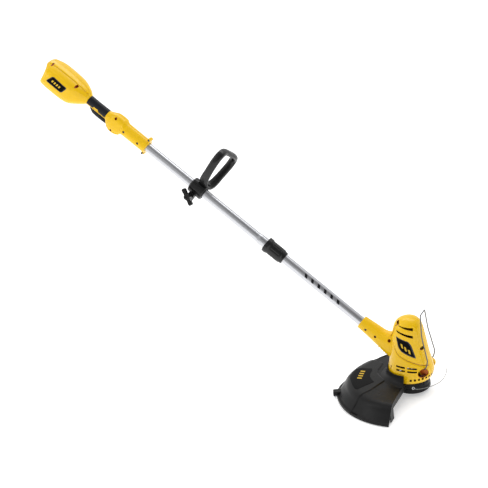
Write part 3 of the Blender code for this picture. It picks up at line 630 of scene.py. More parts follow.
def tubes():
    upper = lathe([(14.4, 490), (15.7, 490), (15.7, 563), (15.4, 566), (14.2, 572), (14, 575),
                   (14, 1092), (12.8, 1092), (12.8, 574), (14.4, 562)], ALUMINIUM, 96, 0.3)
    put(upper, "shaft_tube_upper", "handle", ["upper_tube"], SHAFT)
    lower = lathe([(14, 62), (14, 560), (12.8, 560), (12.8, 62)], ALUMINIUM, 96, 0.3)
    put(lower, "shaft_tube_lower", "lower_shaft", ["lower_tube"], SHAFT)
    bars = []
    for k in range(6):
        start = 262 + 24 * k

        def wrap(u, v, height, start=start):
            angle = radians(36 + v)
            radius = TUBE_R + copysign(0.12, height)
            return mm(radius * sin(angle), -radius * cos(angle), start + u)
        bars.append(plate([(0, -22), (9, -22), (15, 22), (6, 22)], wrap, TUBE_MARK, 1.0, 0.1))
    put(merge(bars), "shaft_tube_marks", "lower_shaft", (), SHAFT)


# ---- shaft lock collar ---------------------------------------------------
def lock_collar():
    collar = lathe([(14.5, 472), (18.4, 472), (19.6, 480), (21.4, 484), (21.4, 525), (23.7, 530),
                    (23.7, 540), (22.8, 542), (16.3, 542), (16.3, 539.5), (18.3, 539.5),
                    (18.3, 488), (14.5, 488)], SATIN, 128, 0.9)
    cut(collar, *[turned(rod(mm(24.6, 0, 488), mm(24.6, 0, 521), 4.6, SATIN, 40, bevel=1.2), 22.5 + 45 * i)
                  for i in range(8)])
    put(collar, "twist_collar", "collar", ["lock_collar"], SHAFT)


# ---- front loop handle ---------------------------------------------------
LOOP_LEG_OFFSET = 9.5
LOOP_LEG_SPREAD = 30.0
LOOP_FORWARD = 12.0
LOOP_THICK, LOOP_DEEP = 16.6, 24.5


def loop_handle():
    half = [(0, 20.5), (13, 24), (26, 38), (40, 62), (51, 88), (56, 108), (50, 128), (27, 138.5)]
    keys = half + [(0, 140)] + [(-u, w) for u, w in reversed(half[1:])]
    path = []
    for u, w in keys:
        turn = max(-1.0, min(1.0, u / LOOP_LEG_SPREAD)) * pi / 2
        path.append(mm(w, -u, LOOP_LEG_OFFSET * sin(turn) - LOOP_FORWARD))
    path = smooth_path(path, 12, closed=True)
    flat = smooth_path([(u, w, 0) for u, w in keys], 12, closed=True)
    total = len(path)
    rings = []
    for i in range(total):
        tangent = (path[(i + 1) % total] - path[i - 1]).normalized()
        out = tangent.cross(Vector((0, 0, 1))).normalized()
        side = out.cross(tangent).normalized()
        low = min(1.0, max(0.0, (flat[i].y - 22.0) / 40.0))
        thick = LOOP_THICK * MM * (0.86 + 0.14 * low)
        deep = LOOP_DEEP * MM * (1.18 - 0.18 * low)
        ring = []
        for j in range(48):
            a, b = swollen(2 * pi * j / 48, 0.88)
            ring.append(path[i] + out * (a * thick / 2) + side * (b * deep / 2))
        rings.append(ring)
    handle = skin(rings, SATIN, cap=False, close=True)
    saddle = lathe([(17, -24), (22.2, -24), (24, -21), (24, 21), (22.2, 24), (17, 24)],
                   SATIN, 96, 1.2)
    near = block(mm(-44, -12, -6), mm(-18, -3, 14), SATIN, 2.4)
    far = block(mm(-44, 3, -6), mm(-18, 12, 14), SATIN, 2.4)
    join(handle, saddle, near, far)
    cut(handle, rod(mm(0, 0, -30), mm(0, 0, 30), 17.0, SATIN, 96))
    cut(handle, block(mm(-60, -2.6, -40), mm(-10, 2.6, 40), SATIN))
    cut(handle, rod(mm(-35, -30, 4), mm(-35, 30, 4), 3.3, SATIN, 32))
    put(handle, "loop_grip", "front_handle", ["loop_handle"], LOOP, 38)


def clamp():
    hub = lathe([(3.3, 12.5), (8, 12.5), (9, 14), (9, 28), (9.6, 30), (9.6, 42), (8.2, 43.5),
                 (3.6, 43.5), (3.2, 41), (0, 41), (0, 37), (3.3, 35)], SATIN, 64, 0.6)
    wing = block(mm(-6.6, -27.4, 25.5), mm(6.6, 27.4, 41.4), SATIN, 3.4, 4)
    cut(wing, *[rod(mm(x, y, 22), mm(x, y, 44), 5.2, SATIN, 40) for x in (-10.4, 10.4) for y in (-13, 13)])
    join(hub, turned(wing, -26.0))
    cut(hub, rod(mm(0, 0, 10), mm(0, 0, 34.4), 3.45, SATIN, 48))
    moved(hub, Matrix.Translation(mm(-35, 0, 4)) @ about("X", 90))
    put(hub, "clamp_wing", "clamp_knob", ["wing_knob"], LOOP)
    head = rod(mm(-35, 17.5, 4), mm(-35, 12.4, 4), 6.2, STEEL, 6, bevel=0.4)
    shank = rod(mm(-35, 13, 4), mm(-35, -33, 4), 3.0, STEEL, 32)
    put(join(head, shank), "clamp_hex_bolt", "front_handle", ["clamp_bolt"], LOOP)


# ---- rear housing --------------------------------------------------------
REAR = [
    (1005, 21, 21, -21, 2, 2), (1092, 20.8, 21, -21, 2.1, 2.1),
    (1098, 20.8, 24, -22.5, 2.4, 2.4), (1104, 21, 27, -30, 2.9, 2.6),
    (1120, 21.2, 27.6, -37.5, 3, 2.6), (1134, 20.8, 26.6, -38.8, 2.9, 2.5),
    (1146, 19, 22, -35.5, 2.6, 2.4), (1155, 17, 17.6, -27, 2.3, 2.3),
    (1161, 15.9, 16, -18, 2.1, 2.1), (1164, 15.6, 15.6, -15.6, 2, 2),
    (1237, 15.6, 15.6, -15.6, 2, 2), (1240, 16.4, 16.6, -16.8, 2, 2),
    (1246, 21.5, 22.5, -22, 2, 2.1), (1256, 29, 27, -29, 2.1, 2.3),
    (1270, 37, 30.5, -38, 2.3, 2.6), (1284, 42.5, 32.8, -45, 2.5, 3),
    (1300, 45.6, 34.4, -48.5, 2.6, 3.3), (1325, 47.2, 35.2, -49.5, 2.6, 3.4),
    (1365, 47.8, 34.6, -49, 2.6, 3.4), (1392, 47, 31.5, -48, 2.6, 3.3),
    (1405, 45, 28, -46, 2.6, 3.2),
]
GRIP_START, GRIP_STOP = 1163.4, 1237.6
GRIP_WAIST, WAIST_FROM = 0.885, -33
PAD_START, PAD_LENGTH = 1163.7, 73.6


def rear_ring(s, values, inset=0.0):
    """Outline of the housing across the shaft at s, with a dip along the seam of its halves."""
    wide, top, bottom, crown, keel = values
    half = []
    for j in range(91):
        angle = 2 * j - 90
        power = crown if angle > 0 else keel
        turn = radians(angle)
        y = abs(cos(turn)) ** (2 / power) * (wide - inset)
        reach = top - inset if angle > 0 else bottom + inset
        half.append((abs(sin(turn)) ** (2 / power) * reach, max(0.55, y)))
    dip_top = (half[-1][0] - 0.7, 0.2)
    dip_low = (half[0][0] + 0.7, 0.2)
    outline = [(h, -y) for h, y in half] + [(dip_top[0], -0.2), dip_top]
    outline += [(h, y) for h, y in reversed(half)] + [dip_low, (dip_low[0], -0.2)]
    share = max(0.0, min(1.0, (s - 1325.0) / 80.0))
    return [mm(h, y, s - 17.0 * share * share * (y / 47.0) ** 2) for h, y in outline]


def rear_surface(s, h, height):
    """Point on the right side of the housing, or above it."""
    wide, top, bottom, crown, keel = table_at(REAR, [s])[0]
    reach, power = (top, crown) if h > 0 else (-bottom, keel)
    share = min(0.999, abs(h) / reach)
    y = wide * (1 - share ** power) ** (1 / power)
    flat = Vector((0, -1, 0))
    lean = Vector((copysign(min(0.6, share ** (power - 1) * wide / reach), h), -1.0, 0.0)).normalized()
    return mm(h, -y, s) + lean.lerp(flat, 0.5) * height * MM


def rear_shell():
    samples = np.concatenate([np.arange(1005, 1092, 4.0), np.arange(1092, 1161, 1.5),
                              [1161, 1163, 1163.4, 1163.41], np.arange(1166, 1236, 4.0),
                              [1237.59, 1237.6, 1239], np.arange(1240, 1404, 1.8), [1405]])
    values = table_at(REAR, samples)
    rings = [rear_ring(s, (bore, bore, -bore, 2.0, 2.0))
             for s, bore in ((1090, 14.35), (1006.2, 14.35), (1005, 15.2))]
    rings.append(rear_ring(1005, values[0] - np.array([1.0, 1.0, -1.0, 0, 0])))
    rings.append(rear_ring(1006, values[0]))
    for s, row in zip(samples[1:-1], values[1:-1]):
        ring = rear_ring(s, row)
        if GRIP_START < s < GRIP_STOP:
            for p in ring:
                if degrees(atan2(p.x, abs(p.y))) > WAIST_FROM:
                    p.xy *= GRIP_WAIST
        rings.append(ring)
    end = values[-1]
    rings += [rear_ring(1404.2, end), rear_ring(1405, end, 0.8), rear_ring(1405, end, 2.2)]
    rings += [rear_ring(s, table_at(REAR, [s])[0], 2.8) for s in (1404, 1380, 1350, 1325, 1302)]
    shell = skin(rings, YELLOW)
    table = np.asarray(REAR, float)
    arc = [(1378, -3), (1375, 6.5), (1366, 15)]
    low_line = [(1384, -30.6), (1344, -33.8), (1307, -28.2), (1287, -31.4)]
    step_edge = [(1290, 18), (1285, -10), (1286, -29), (1300, -40)]

    def field(p):
        along, h, y = p[:, 2], p[:, 0], np.abs(p[:, 1])
        wide = np.interp(along, table[:, 0], table[:, 1])
        reach = np.where(h > 0, np.interp(along, table[:, 0], table[:, 2]),
                         -np.interp(along, table[:, 0], table[:, 3]))
        angle = np.degrees(np.arctan2(h / reach, y / wide))
        flat = np.stack([along, h], 1)
        start = np.interp(along, [1245, 1290, 1362], [29.0, 32.0, 37.0])
        ramp = np.clip((angle - start) / (65.0 - start), 0, 1) ** 0.7
        body = step(along - 1245, 6) * step(1407 - along, 4)
        out = -3.0 * ramp * step(65.0 - angle, 2.0) * body
        out += 0.7 * np.exp(-((angle - start) / 2.2) ** 2) * body
        front = step(along - 1101, 3) * step(1151 - along, 5)
        out -= 2.0 * step(56.0 - angle, 2.5) * step(angle + 48.0, 6.0) * front
        side = (y > 8) * (along > 1244)
        out += (groove(flat, arc, 1.5, 0.9) + groove(flat, low_line, 1.8, 0.9)
                + groove(flat, step_edge, 3.0, 0.4)) * side
        return out * (np.hypot(h, y) > 16.5)
    relief(shell, field, own_axis)
    for h in (26, -26):
        for side in (-1, 1):
            outward = 8.5 * side
            low, high = sorted((0.15 * side, outward))
            lug = rod(mm(h, 0.15 * side, 1010), mm(h, outward, 1010), 5.6, YELLOW, 48, bevel=0.5)
            web = block(mm(min(h * 0.7, h), low, 1005.5), mm(max(h * 0.7, h), high, 1014.5), YELLOW, 0.6)
            join(shell, join(web, lug))
    screw_holes = [(h, *across, 1010, 3.5) for h in (26, -26) for across in ((-12, -6.6), (6.6, 12))]
    screw_holes += [(0, -30, -17.6, 1033, 3.6), (0, -30, -17.6, 1088, 3.6), (17.5, -34, -12, 1130, 4),
                    (-28, -34, -11, 1129, 3.6), (25.5, -40, -20, 1283.5, 4.2)]
    # painted shade: the screw-hole cutters leave dark orange-red walls
    cutters = [rod(mm(h, low, s), mm(h, high, s), radius, RECESS_SHADE, 32)
               for h, low, high, s, radius in screw_holes]
    slot = block(mm(-1.9, -7.6, -2.9), mm(6, 7.6, 2.9), RECESS_SHADE, 0.8)
    # painted shade: the trigger slot, latch recess and button hole leave near-black walls
    cut(shell, *cutters, moved(slot, Matrix.Translation(mm(29.2, -21.5, 1386.5)) @ about("Z", -17)),
        block(mm(-40, -5.4, 1128), mm(-9, 5.4, 1233), HOLE_SHADE, 0.6),
        block(mm(-60, -16.4, 1303), mm(-38, 16.4, 1369), HOLE_SHADE, 0.8),
        rod(mm(6, 12, 1122), mm(6, 30, 1122), 6.4, HOLE_SHADE, 48))
    put(shell, "rear_shell", "handle", ["rear_housing_right", "rear_housing_left"], SHAFT, 34)
    rim = [(1373, -14.4), (1357.2, 13.4), (1300.8, 9.6), (1311.4, -15.8)]
    face = [(1370.5, -12.8), (1355.5, 11.8), (1303.6, 8.2), (1313, -14)]
    marks = [[(1352 - 9 * k, 3.6 - 0.6 * k), (1347 - 9 * k, 3.2 - 0.6 * k),
              (1349.5 - 9 * k, -4.6 - 0.5 * k), (1354.5 - 9 * k, -4.2 - 0.5 * k)] for k in range(4)]
    label("rear_label", [("_rim", rim, FRAME_GREY, 5.5, 0.9), ("", face, LABEL, 5.0, 1.3)],
          marks, rear_surface, (0.5, 1.45), "handle", SHAFT)


def grip_pads():
    for side, hand in ((-1, "right"), (1, "left")):
        rows = []
        for s in np.linspace(PAD_START, PAD_START + PAD_LENGTH, 50):
            share = (s - PAD_START) / PAD_LENGTH
            edge = min(1.0, min(share, 1 - share) * 50 / 1.6)
            notch = np.clip((share - 0.36) / 0.06, 0, 1) * (1.0 - np.clip((share - 0.62) / 0.06, 0, 1))
            low = -28.0 + 26.0 * float(notch)
            bulge = 15.75 - 0.45 * sin(pi * share) - 0.5 * (1 - edge)
            outer, inner = [], []
            for j in range(29):
                angle = radians(low + (90.0 - low) * j / 28)
                lip = 0.5 * (1 - min(1.0, j / 1.5))
                for radius, row in ((bulge - lip, outer), (13.9, inner)):
                    y = max(0.3, radius * cos(angle))
                    row.append(mm(radius * sin(angle), side * y, s))
            rows.append(outer + list(reversed(inner)))
        pad = skin(rows, RUBBER)
        if side < 0:
            # painted shade: the hole's walls are near-black
            cut(pad, rod(mm(-1, -18, 1228), mm(-1, -14.2, 1228), 2.6, HOLE_SHADE, 32))
        put(pad, "grip_pad_" + hand, "handle", ["grip_cover_" + hand], SHAFT)


def trigger_and_buttons():
    keys = [(1138, -19.6, -25.6), (1146, -19.2, -27.4), (1158, -18.4, -29), (1172, -17.6, -29.8),
            (1190, -16.6, -30.2), (1211, -13.4, -28.6), (1219, -9.8, -23.6), (1226, -7.6, -18.4),
            (1232, -8, -14)]
    rings = []
    for s in np.arange(1138, 1232.1, 2.0):
        top, bottom = table_at(keys, [s])[0]
        centre, reach = (top + bottom) / 2, (top - bottom) / 2
        ring = []
        for j in range(28):
            y, h = swollen(2 * pi * j / 28, 0.6)
            ring.append(mm(centre + h * reach, y * 5.0, s))
        rings.append(ring)
    put(skin(rings, RUBBER), "trigger_blade", "trigger", ["trigger_lever"], SHAFT, 50)
    button = lathe([(0, 14.5), (7.2, 14), (7.2, 15.6), (6, 15.8), (6, 22), (5, 23), (0, 23.2)],
                   SATIN, 48, 0.5, open_profile=True)
    moved(button, Matrix.Translation(mm(6, 0, 1122)) @ about("X", -90))
    put(button, "lock_button", "lock_off", ["lock_off_button"], SHAFT)


def battery():
    case = block(mm(-38, -33.6, 1338), mm(19, 33.6, 1395.6), SATIN, 5, 5)
    slots = [block(mm(-30 + 9 * k, -22, 1393.8), mm(-26.5 + 9 * k, 22, 1399), SATIN, 0.8) for k in range(5)]
    cut(case, *slots, block(mm(-18, -15, 1330), mm(0, 15, 1340), SATIN))
    put(case, "battery_pack", "battery", ["battery_case"], SHAFT)
    latch = block(mm(-51, -16, 1303.4), mm(-42, 16, 1368.6), YELLOW, 2, 4)
    cut(latch, *[rod(mm(-51.4, -12, 1340 + 5 * k), mm(-51.4, 12, 1340 + 5 * k), 1.3, YELLOW, 24)
                 for k in range(5)])
    put(latch, "battery_latch_bar", "latch", ["battery_latch"], SHAFT)


# ---- screws --------------------------------------------------------------
def screw(name, node, body, centre, depth):
    """Pan-head screw with a cross recess, facing right; centre in mm in the shaft's frame."""
    radius = 3.2
    head = lathe([(0, 0), (radius, 0), (radius, 0.9), (radius * 0.82, 1.7), (radius * 0.4, 2.05), (0, 2.1)],
                 DARK_STEEL, 40, 0.25, open_profile=True)
    join(head, rod(mm(0, 0, -depth), mm(0, 0, 0.3), radius * 0.42, DARK_STEEL, 24))
    for turn in (20, 110):
        cut(head, turned(block(mm(-radius * 0.62, -0.45, 0.9), mm(radius * 0.62, 0.45, 3), DARK_STEEL), turn))
    facing = Vector((0, -1, 0)).to_track_quat("Z", "Y").to_matrix().to_4x4()
    moved(head, Matrix.Translation(mm(*centre)) @ facing)
    put(head, name, body, [node], SHAFT)


def screws():
    for name, node, body, h, y, s, depth in (
            ("socket_screw_a", "socket_screw_1", "handle", 0, -18.0, 1033, 2.2),
            ("socket_screw_b", "socket_screw_2", "handle", 0, -18.0, 1088, 2.2),
            ("lug_screw_a", "lug_screw_1", "handle", 26, -6.9, 1010, 10),
            ("lug_screw_b", "lug_screw_2", "handle", -26, -6.9, 1010, 10),
            ("neck_screw_a", "neck_screw_1", "lower_shaft", 0.0, -18.4, 158, 2.2),
            ("neck_screw_b", "neck_screw_2", "lower_shaft", 3.5, -18.6, 124, 2.2)):
        screw(name, node, body, (h, y, s), depth)


# ---- cutting head --------------------------------------------------------
HEAD = [
    (46, 0, 58, 58), (52, 0, 61.5, 61), (58, 0, 64, 63), (68, 0.5, 66, 63.5), (80, 0.5, 65.5, 62),
    (94, 0.5, 62.5, 58.5), (112, 0.5, 58.5, 54.5), (135, 1, 54.5, 50.5), (160, 1.5, 50.5, 47.5),
    (184, 2, 46.5, 44.5), (204, 3, 42, 41), (216, 3.5, 37, 37), (225, 4, 29, 29),
    (230, 4.5, 19, 20), (232.6, 4.5, 8, 9), (233.2, 4.5, 0.3, 0.3),
]
NECK = [(30, 30, 48, -28), (60, 29, 49, -27), (80, 27.5, 47, -26), (94, 26, 39, -25), (106, 25, 31, -24.4),
        (118, 24, 27.4, -23.6), (134, 22.6, 26, -22.4), (158, 21, 23.2, -21), (182, 19.8, 20.2, -20)]
WALL = 2.6
NECK_SCREWS = ((0, 158), (3.5, 124))
CUP_X, CUP_Z = 49.5, 76


def head_rows(spacing, inset=0.0, top=1e9):
    keys = np.asarray(HEAD, float)
    arc = np.concatenate([[0], np.cumsum(np.hypot(np.diff(keys[:, 0]), np.diff(keys[:, 2])))])
    at = np.linspace(0, arc[-1], int(arc[-1] / spacing))
    rows = np.stack([monotone(arc, keys[:, k], at) for k in range(4)], 1)
    rows[:, 2:] = np.maximum(0.3, rows[:, 2:] - inset)
    return rows[rows[:, 0] < top]


def head_ring(row, angles):
    z, centre, reach_x, reach_y = row
    return [mm(centre + reach_x * cos(a), reach_y * sin(a), z) for a in angles]


def head_surface(x, z, height):
    """Point on the right side of the head, or above it."""
    centre, reach_x, reach_y = table_at(HEAD, [z])[0]
    share = max(-0.999, min(0.999, (x - centre) / reach_x))
    y = reach_y * sqrt(1 - share * share)
    out = Vector((share / reach_x, -sqrt(1 - share * share) / reach_y, 0.0)).normalized()
    return mm(x, -y, z) + out * height * MM


def head_shell():
    fine = np.radians(np.concatenate([[0, 0.35, 0.85], np.arange(2.0, 178.5, 1.5),
                                      [179.15, 179.65, 180, 180.35, 180.85],
                                      np.arange(182.0, 358.5, 1.5), [359.15, 359.65]]))
    outer = [head_ring(row, fine) for row in head_rows(1.6)]
    inner = [head_ring(row, fine) for row in head_rows(8.0, WALL, 227)]
    rim = [mm(v.x / MM * 0.985, v.y / MM * 0.985, 46) for v in outer[0]]
    rings = list(reversed(inner)) + [rim] + outer
    shell = skin(rings, YELLOW)
    neck_rows = np.arange(30, 181, 2.0)
    neck = []
    for s, (wide, top, bottom) in zip(neck_rows, table_at(NECK, neck_rows)):
        ring = []
        for j in range(112):
            angle = 2 * pi * (j + 0.5) / 112
            lift = sin(angle)
            ring.append(SHAFT @ mm(lift * (top if lift > 0 else -bottom), wide * cos(angle), s))
        neck.append(ring)
    for s, shrink in ((181.4, 0.985), (182, 0.95)):
        neck.append([SHAFT @ Vector((p.x * shrink, p.y * shrink, s * MM))
                     for p in (SHAFT.inverted() @ q for q in neck[-1 if s < 181.9 else -2])])
    join(shell, skin(neck, YELLOW))
    for side in (-1, 1):
        root, tip = mm(CUP_X, 24 * side, CUP_Z), mm(CUP_X, 32.8 * side, CUP_Z)
        join(shell, rod(root, tip, 15, YELLOW, 64, bevel=0.8))
    edge = [(-14.4, 220), (-23.6, 214.8), (-33.9, 191.1), (-45.5, 174.5), (-34.3, 160.5), (-25.4, 142.3),
            (-15.5, 130), (6, 119.3), (32.9, 107.1), (51, 97)]
    panel = edge + [(57, 112), (51, 140), (39, 176), (30, 214)]
    badge = [(-17, 212), (-25, 198), (-25, 183), (-17.7, 151), (-8, 139), (38, 112), (44, 121), (38, 150),
             (31, 182), (27, 214)]

    def field(p):
        flat = p[:, [0, 2]]
        near = np.clip((-p[:, 1] - 4.0) / 6.0, 0, 1)
        outside = np.hypot(p[:, 0] - 2, p[:, 1]) > 30
        out = (groove(flat, edge, 1.9, 2.0) + plateau(flat, panel, 1.5, 2.4) + plateau(flat, badge, 1.1, 2.4))
        out *= near * outside * (p[:, 2] < 224)
        seam = -0.45 * np.exp(-(p[:, 1] / 0.45) ** 2) * (p[:, 2] > 50)
        band = -0.5 * np.exp(-((p[:, 2] - 64.5) / 0.9) ** 2) * (np.abs(p[:, 0] - 49) > 18)
        return out + seam + band * (p[:, 2] < 70)
    relief(shell, field, own_axis)
    # painted shade: faces along the panel step get the brown shade material
    tint(shell, edge + [(60, 92)], 1.15, lambda p: (p[:, 1] < -8) & (p[:, 2] < 224), GROOVE_SHADE)
    vents = [[(-15.5, 219.6), (28.4, 212.8), (29.6, 204.6), (-8, 216.6)],
             [(-18.6, 206.4), (28.4, 191), (29.4, 183), (-17.4, 201.4)],
             [(-25.4, 101.4), (2.4, 99.6), (2.4, 94.6), (-25.4, 96.4)],
             [(8.6, 98.6), (35, 94.2), (35, 89.6), (8.6, 93.8)],
             [(-25.4, 91.2), (2.4, 90.2), (2.4, 85.2), (-25.4, 86.2)],
             [(8.6, 89), (35, 85.4), (35, 80.8), (8.6, 84.2)]]
    # painted shade: the vent and square-hole cutters leave near-black walls
    cutters = [prism(vent, -80, -14, HOLE_SHADE, 1.4) for vent in vents]
    # painted shade: the screw-hole and slot cutters leave dark orange-red walls
    cutters += [rod(mm(x, -60, z), mm(x, -deep, z), 4.7, RECESS_SHADE, 40)
                for x, z, deep in ((-17.8, 223.2, 15), (-49.8, 161.6, 14), (47.7, 147.6, 16))]
    cutters += [turned(block(mm(59.5, -3, 55.6), mm(70, 3, 62.9), HOLE_SHADE, 0.5), -74.3 + 10.6 * k)
                for k in range(15)]
    cutters.append(turned(block(mm(54, -1.9, 82.5), mm(70, 1.9, 94), RECESS_SHADE, 1.2), -137))
    cut(shell, *cutters)
    # painted shade: the bail cups' walls take the orange shade colour
    cups = [rod(mm(CUP_X, 27 * side, CUP_Z), mm(CUP_X, 80 * side, CUP_Z), 12.8, CUP_SHADE, 64) for side in (-1, 1)]
    # painted shade: the neck screw holes get dark orange-red walls
    cut(shell, *cups, *[rod(SHAFT @ mm(h, -30, s), SHAFT @ mm(h, -18.2, s), 3.6, RECESS_SHADE, 32)
                        for h, s in NECK_SCREWS])
    x, z = BAIL_PIVOT.x / MM, BAIL_PIVOT.z / MM
    # painted shade: the bail pivot holes get near-black walls
    for side in (-1, 1):
        cut(shell, rod(mm(x, 20 * side, z), mm(x, 40 * side, z), 2.1, HOLE_SHADE, 24))
    cut(shell, rod(SHAFT @ mm(0, 0, 40), SHAFT @ mm(0, 0, 200), 14.3, YELLOW, 96))
    put(shell, "head_shell", "lower_shaft", ["head_housing_right", "head_housing_left"],
        WORLD, 34)
    # painted shade: a near-black ring just inside the wall, behind the square holes, so they read as shaded
    # openings
    vent_shade_ring = lathe([(56.6, 50), (58, 50), (58, 68), (56.6, 68)], HOLE_SHADE, 96, 0.3)
    put(vent_shade_ring, "painted_vent_shade", "lower_shaft")
    teeth = [block(mm(-30.4 + 0.05 * (s - 66), -7, s), mm(-22, 7, s + 3.6), YELLOW, 1)
             for s in (68, 77, 86, 95)]
    put(merge(teeth), "neck_ribs", "lower_shaft", (), SHAFT)
    rim_line = [(-19.6, 189), (15.6, 175.4), (22.8, 163.6), (33, 123), (-5, 144.6), (-14.4, 157.4)]
    face = [(-17, 186), (14, 173.8), (19.6, 162.8), (29.2, 128), (-4.2, 147.6), (-12.2, 158)]

    def raised(x, z, height):
        return head_surface(x, z, height + 2.2)
    marks = []
    for k in range(3):
        x, z = -6 + 9.5 * k, 170 - 8.5 * k
        marks.append([(x, z), (x + 5, z - 2.2), (x + 7.5, z - 15), (x + 2.5, z - 12.8)])
    label("head_label", [("_rim", rim_line, FRAME_GREY, 3.2, 0.7), ("", face, LABEL, 2.6, 1.1)],
          marks, raised, (0.6, 1.25))


def flower_guard():
    p = BAIL_PIVOT / MM
    half = [(p.x, -24.6, p.z), (p.x, -33.6, p.z), (p.x + 2.0, -35.4, p.z + 1.4), (57.6, -35.7, 92.4),
            (62.6, -35.5, 108), (63.3, -35.3, 111.6), (51.6, -29.8, 184), (51.3, -29.4, 187),
            (50, -20.6, 245.6), (50, -18.6, 247)]
    keys = half + [(x, -y, z) for x, y, z in reversed(half)]
    points = [point * MM for point in rounded(keys, 4.0, 4, closed=False)]
    wire = tube_curve(points, 1.7, WIRE_STEEL, 8)
    put(apply_curve(wire), "flower_guard_wire", "bail", ["flower_guard"])


def apply_curve(curve):
    graph = bpy.context.evaluated_depsgraph_get()
    mesh = bpy.data.meshes.new_from_object(curve.evaluated_get(graph))
    made = loose(mesh)
    bpy.data.objects.remove(curve, do_unlink=True)
    return made


# ---- guard ---------------------------------------------------------------
GUARD_NEAR, GUARD_FAR, TAB_TURN = 90.0, -68.0, 22.0


def guard_profile(phi, inset):
    rim = 191.0 - 0.55 * max(0.0, 10.0 - phi)
    flare = 31.5 - 12.0 * max(0.0, min(1.0, (20.0 - phi) / 20.0))
    rows = [(54, 43.2), (66.6, 43.2), (68.4, 44.6), (69.6, 47.6), (72, 49.6), (90, 50), (120, 49.5),
            (152, 48.6), (rim - 20, 47.2), (rim - 9, 43.8), (rim - 1.5, 37.5), (rim + 4.0, 29.5)]
    lip = [(10.5, 12.4), (8, 9.8), (6.4, 9.6), (5.8, 7.8), (4.6, 7.7), (4, 9.3), (1, 9), (0, 1)]
    rows += [(rim + flare - back, z) for back, z in lip]
    fine = refined(rounded(rows, 7.0, 4, closed=False), 2.6, closed=False)
    points = []
    for i, point in enumerate(fine):
        along = (fine[min(len(fine) - 1, i + 1)] - fine[max(0, i - 1)]).normalized()
        points.append((point.x + along.y * inset, point.y - along.x * inset))
    return points


def ring_slab(profile_at, wall, first, last, steps, material):
    """Shell swept about Z between two angles, closed at both ends."""
    length = len(profile_at(0, 0))
    rings = []
    for i in range(steps + 1):
        phi = first + (last - first) * i / steps
        turn = radians(phi)
        outer, inner = profile_at(phi, 0.0), profile_at(phi, wall)
        if len(outer) != length:
            outer, inner = resample(outer, length), resample(inner, length)
        rings.append([mm(-radius * cos(turn), -radius * sin(turn), z)
                      for radius, z in outer + list(reversed(inner))])
    return skin(rings, material)


def resample(points, count):
    flat = np.asarray(points, float)
    arc = np.concatenate([[0], np.cumsum(np.hypot(*np.diff(flat, axis=0).T))])
    at = np.linspace(0, arc[-1], count)
    return list(zip(np.interp(at, arc, flat[:, 0]), np.interp(at, arc, flat[:, 1])))


def guard_surface(x, y, height):
    radius = hypot(x, y)
    z = float(np.interp(radius, [72, 90, 120, 152, 171, 182, 189.5],
                        [49.6, 50, 49.5, 48.6, 47.2, 43.8, 37.5]))
    return mm(x, y, z + height)


def debris_guard():
    guard = ring_slab(guard_profile, WALL, GUARD_FAR, GUARD_NEAR, 230, BLACK)
    raised = [(-104, 44), (-101.8, 22.9), (-103.3, -2.6), (-99, -18), (-91.6, -29.8), (-79, -42),
              (-64.9, -53.3), (-62.4, -58), (-64.4, -63.5), (-85, -116.7), (-111.9, -155.8), (-150, -222),
              (-290, -160), (-290, 110), (-150, 66)]
    arrow = [(-71, -110.6), (-50.4, -124), (-54.2, -135.8)]

    def field(p):
        flat = p[:, :2]
        radius = np.hypot(flat[:, 0], flat[:, 1])
        top = (p[:, 2] > 3) & (radius > 74)
        side = np.clip((radius - 74) / 6, 0, 1)
        out = plateau(flat, raised, 2.2, 3.0) * side
        out += groove(flat, arrow, 1.1, 0.5, True)
        angle = np.degrees(np.arctan2(-flat[:, 1], -flat[:, 0]))
        for inward in (GUARD_NEAR - angle, angle - GUARD_FAR):
            out *= np.clip((inward - 1.0) / 1.5, 0, 1)
        return out * top
    relief(guard, field, lambda points: np.array([0.0, 0.0, -60.0]))

    def cone(_, inset):
        rows = [(69.8, 77), (71, 66), (75, 57.4), (82, 52.4), (91, 49.4)]
        outline = rounded(rows, 5.0, 4, closed=False)
        return [(p.x - inset, p.y - inset * 0.25) for p in outline]
    collar = ring_slab(cone, 2.4, GUARD_FAR + 0.05, GUARD_NEAR - 0.05, 120, BLACK)
    foot = prism([(173, 1), (199, 1), (197, 26), (190, 36), (184, 42), (173, 45)], -3.0, -0.04, BLACK, 0.5)
    join(guard, collar, block(mm(-3, -174, 32), mm(-0.04, -62, 47.2), BLACK), turned(foot, -90),
         turned(block(mm(-140, -3.2, 32), mm(-70, -0.3, 46), BLACK), GUARD_FAR),
         turned(block(mm(-234, -11, 5), mm(-206, 11, 17), BLACK, 2.4), TAB_TURN))
    cut(guard, turned(block(mm(-237, -12.3, 2.7), mm(-190, 12.3, 4.9), BLACK), TAB_TURN))
    put(guard, "guard_shell", "lower_shaft", ["debris_guard"], WORLD, 30)
    outline = [(-176.5, -20), (-176.5, -42), (-169, -62), (-150.1, -95), (-133, -116.5),
               (-124, -119), (-89.5, -73.5), (-104.5, -56.5), (-114, -42), (-118.5, -25),
               (-119.5, -8), (-124, 4), (-160, 3), (-172, -4)]

    def over(x, y, height):
        return guard_surface(x, y, height + 2.0)
    marks = []
    for k in range(4):
        x, y = -153 + 1.5 * k, -14 - 13.5 * k
        marks.append([(x, y), (x + 15, y - 1), (x + 16, y - 7.5), (x + 1.5, y - 6.5)])
    label("guard_label", [("", outline, LABEL, 3.0, 0.7, 9)], marks, over, (0.8, 0.95))
    ribs = [turned(block(mm(-222.2, -0.7, 2.6), mm(-216, 0.7, 10.6), BLACK, 0.5), 30 + 1.25 * k)
            for k in range(26)]
    put(merge(ribs), "guard_rim_ribs", "lower_shaft")


# ---- spool ---------------------------------------------------------------
LINE_EXIT = -69.5


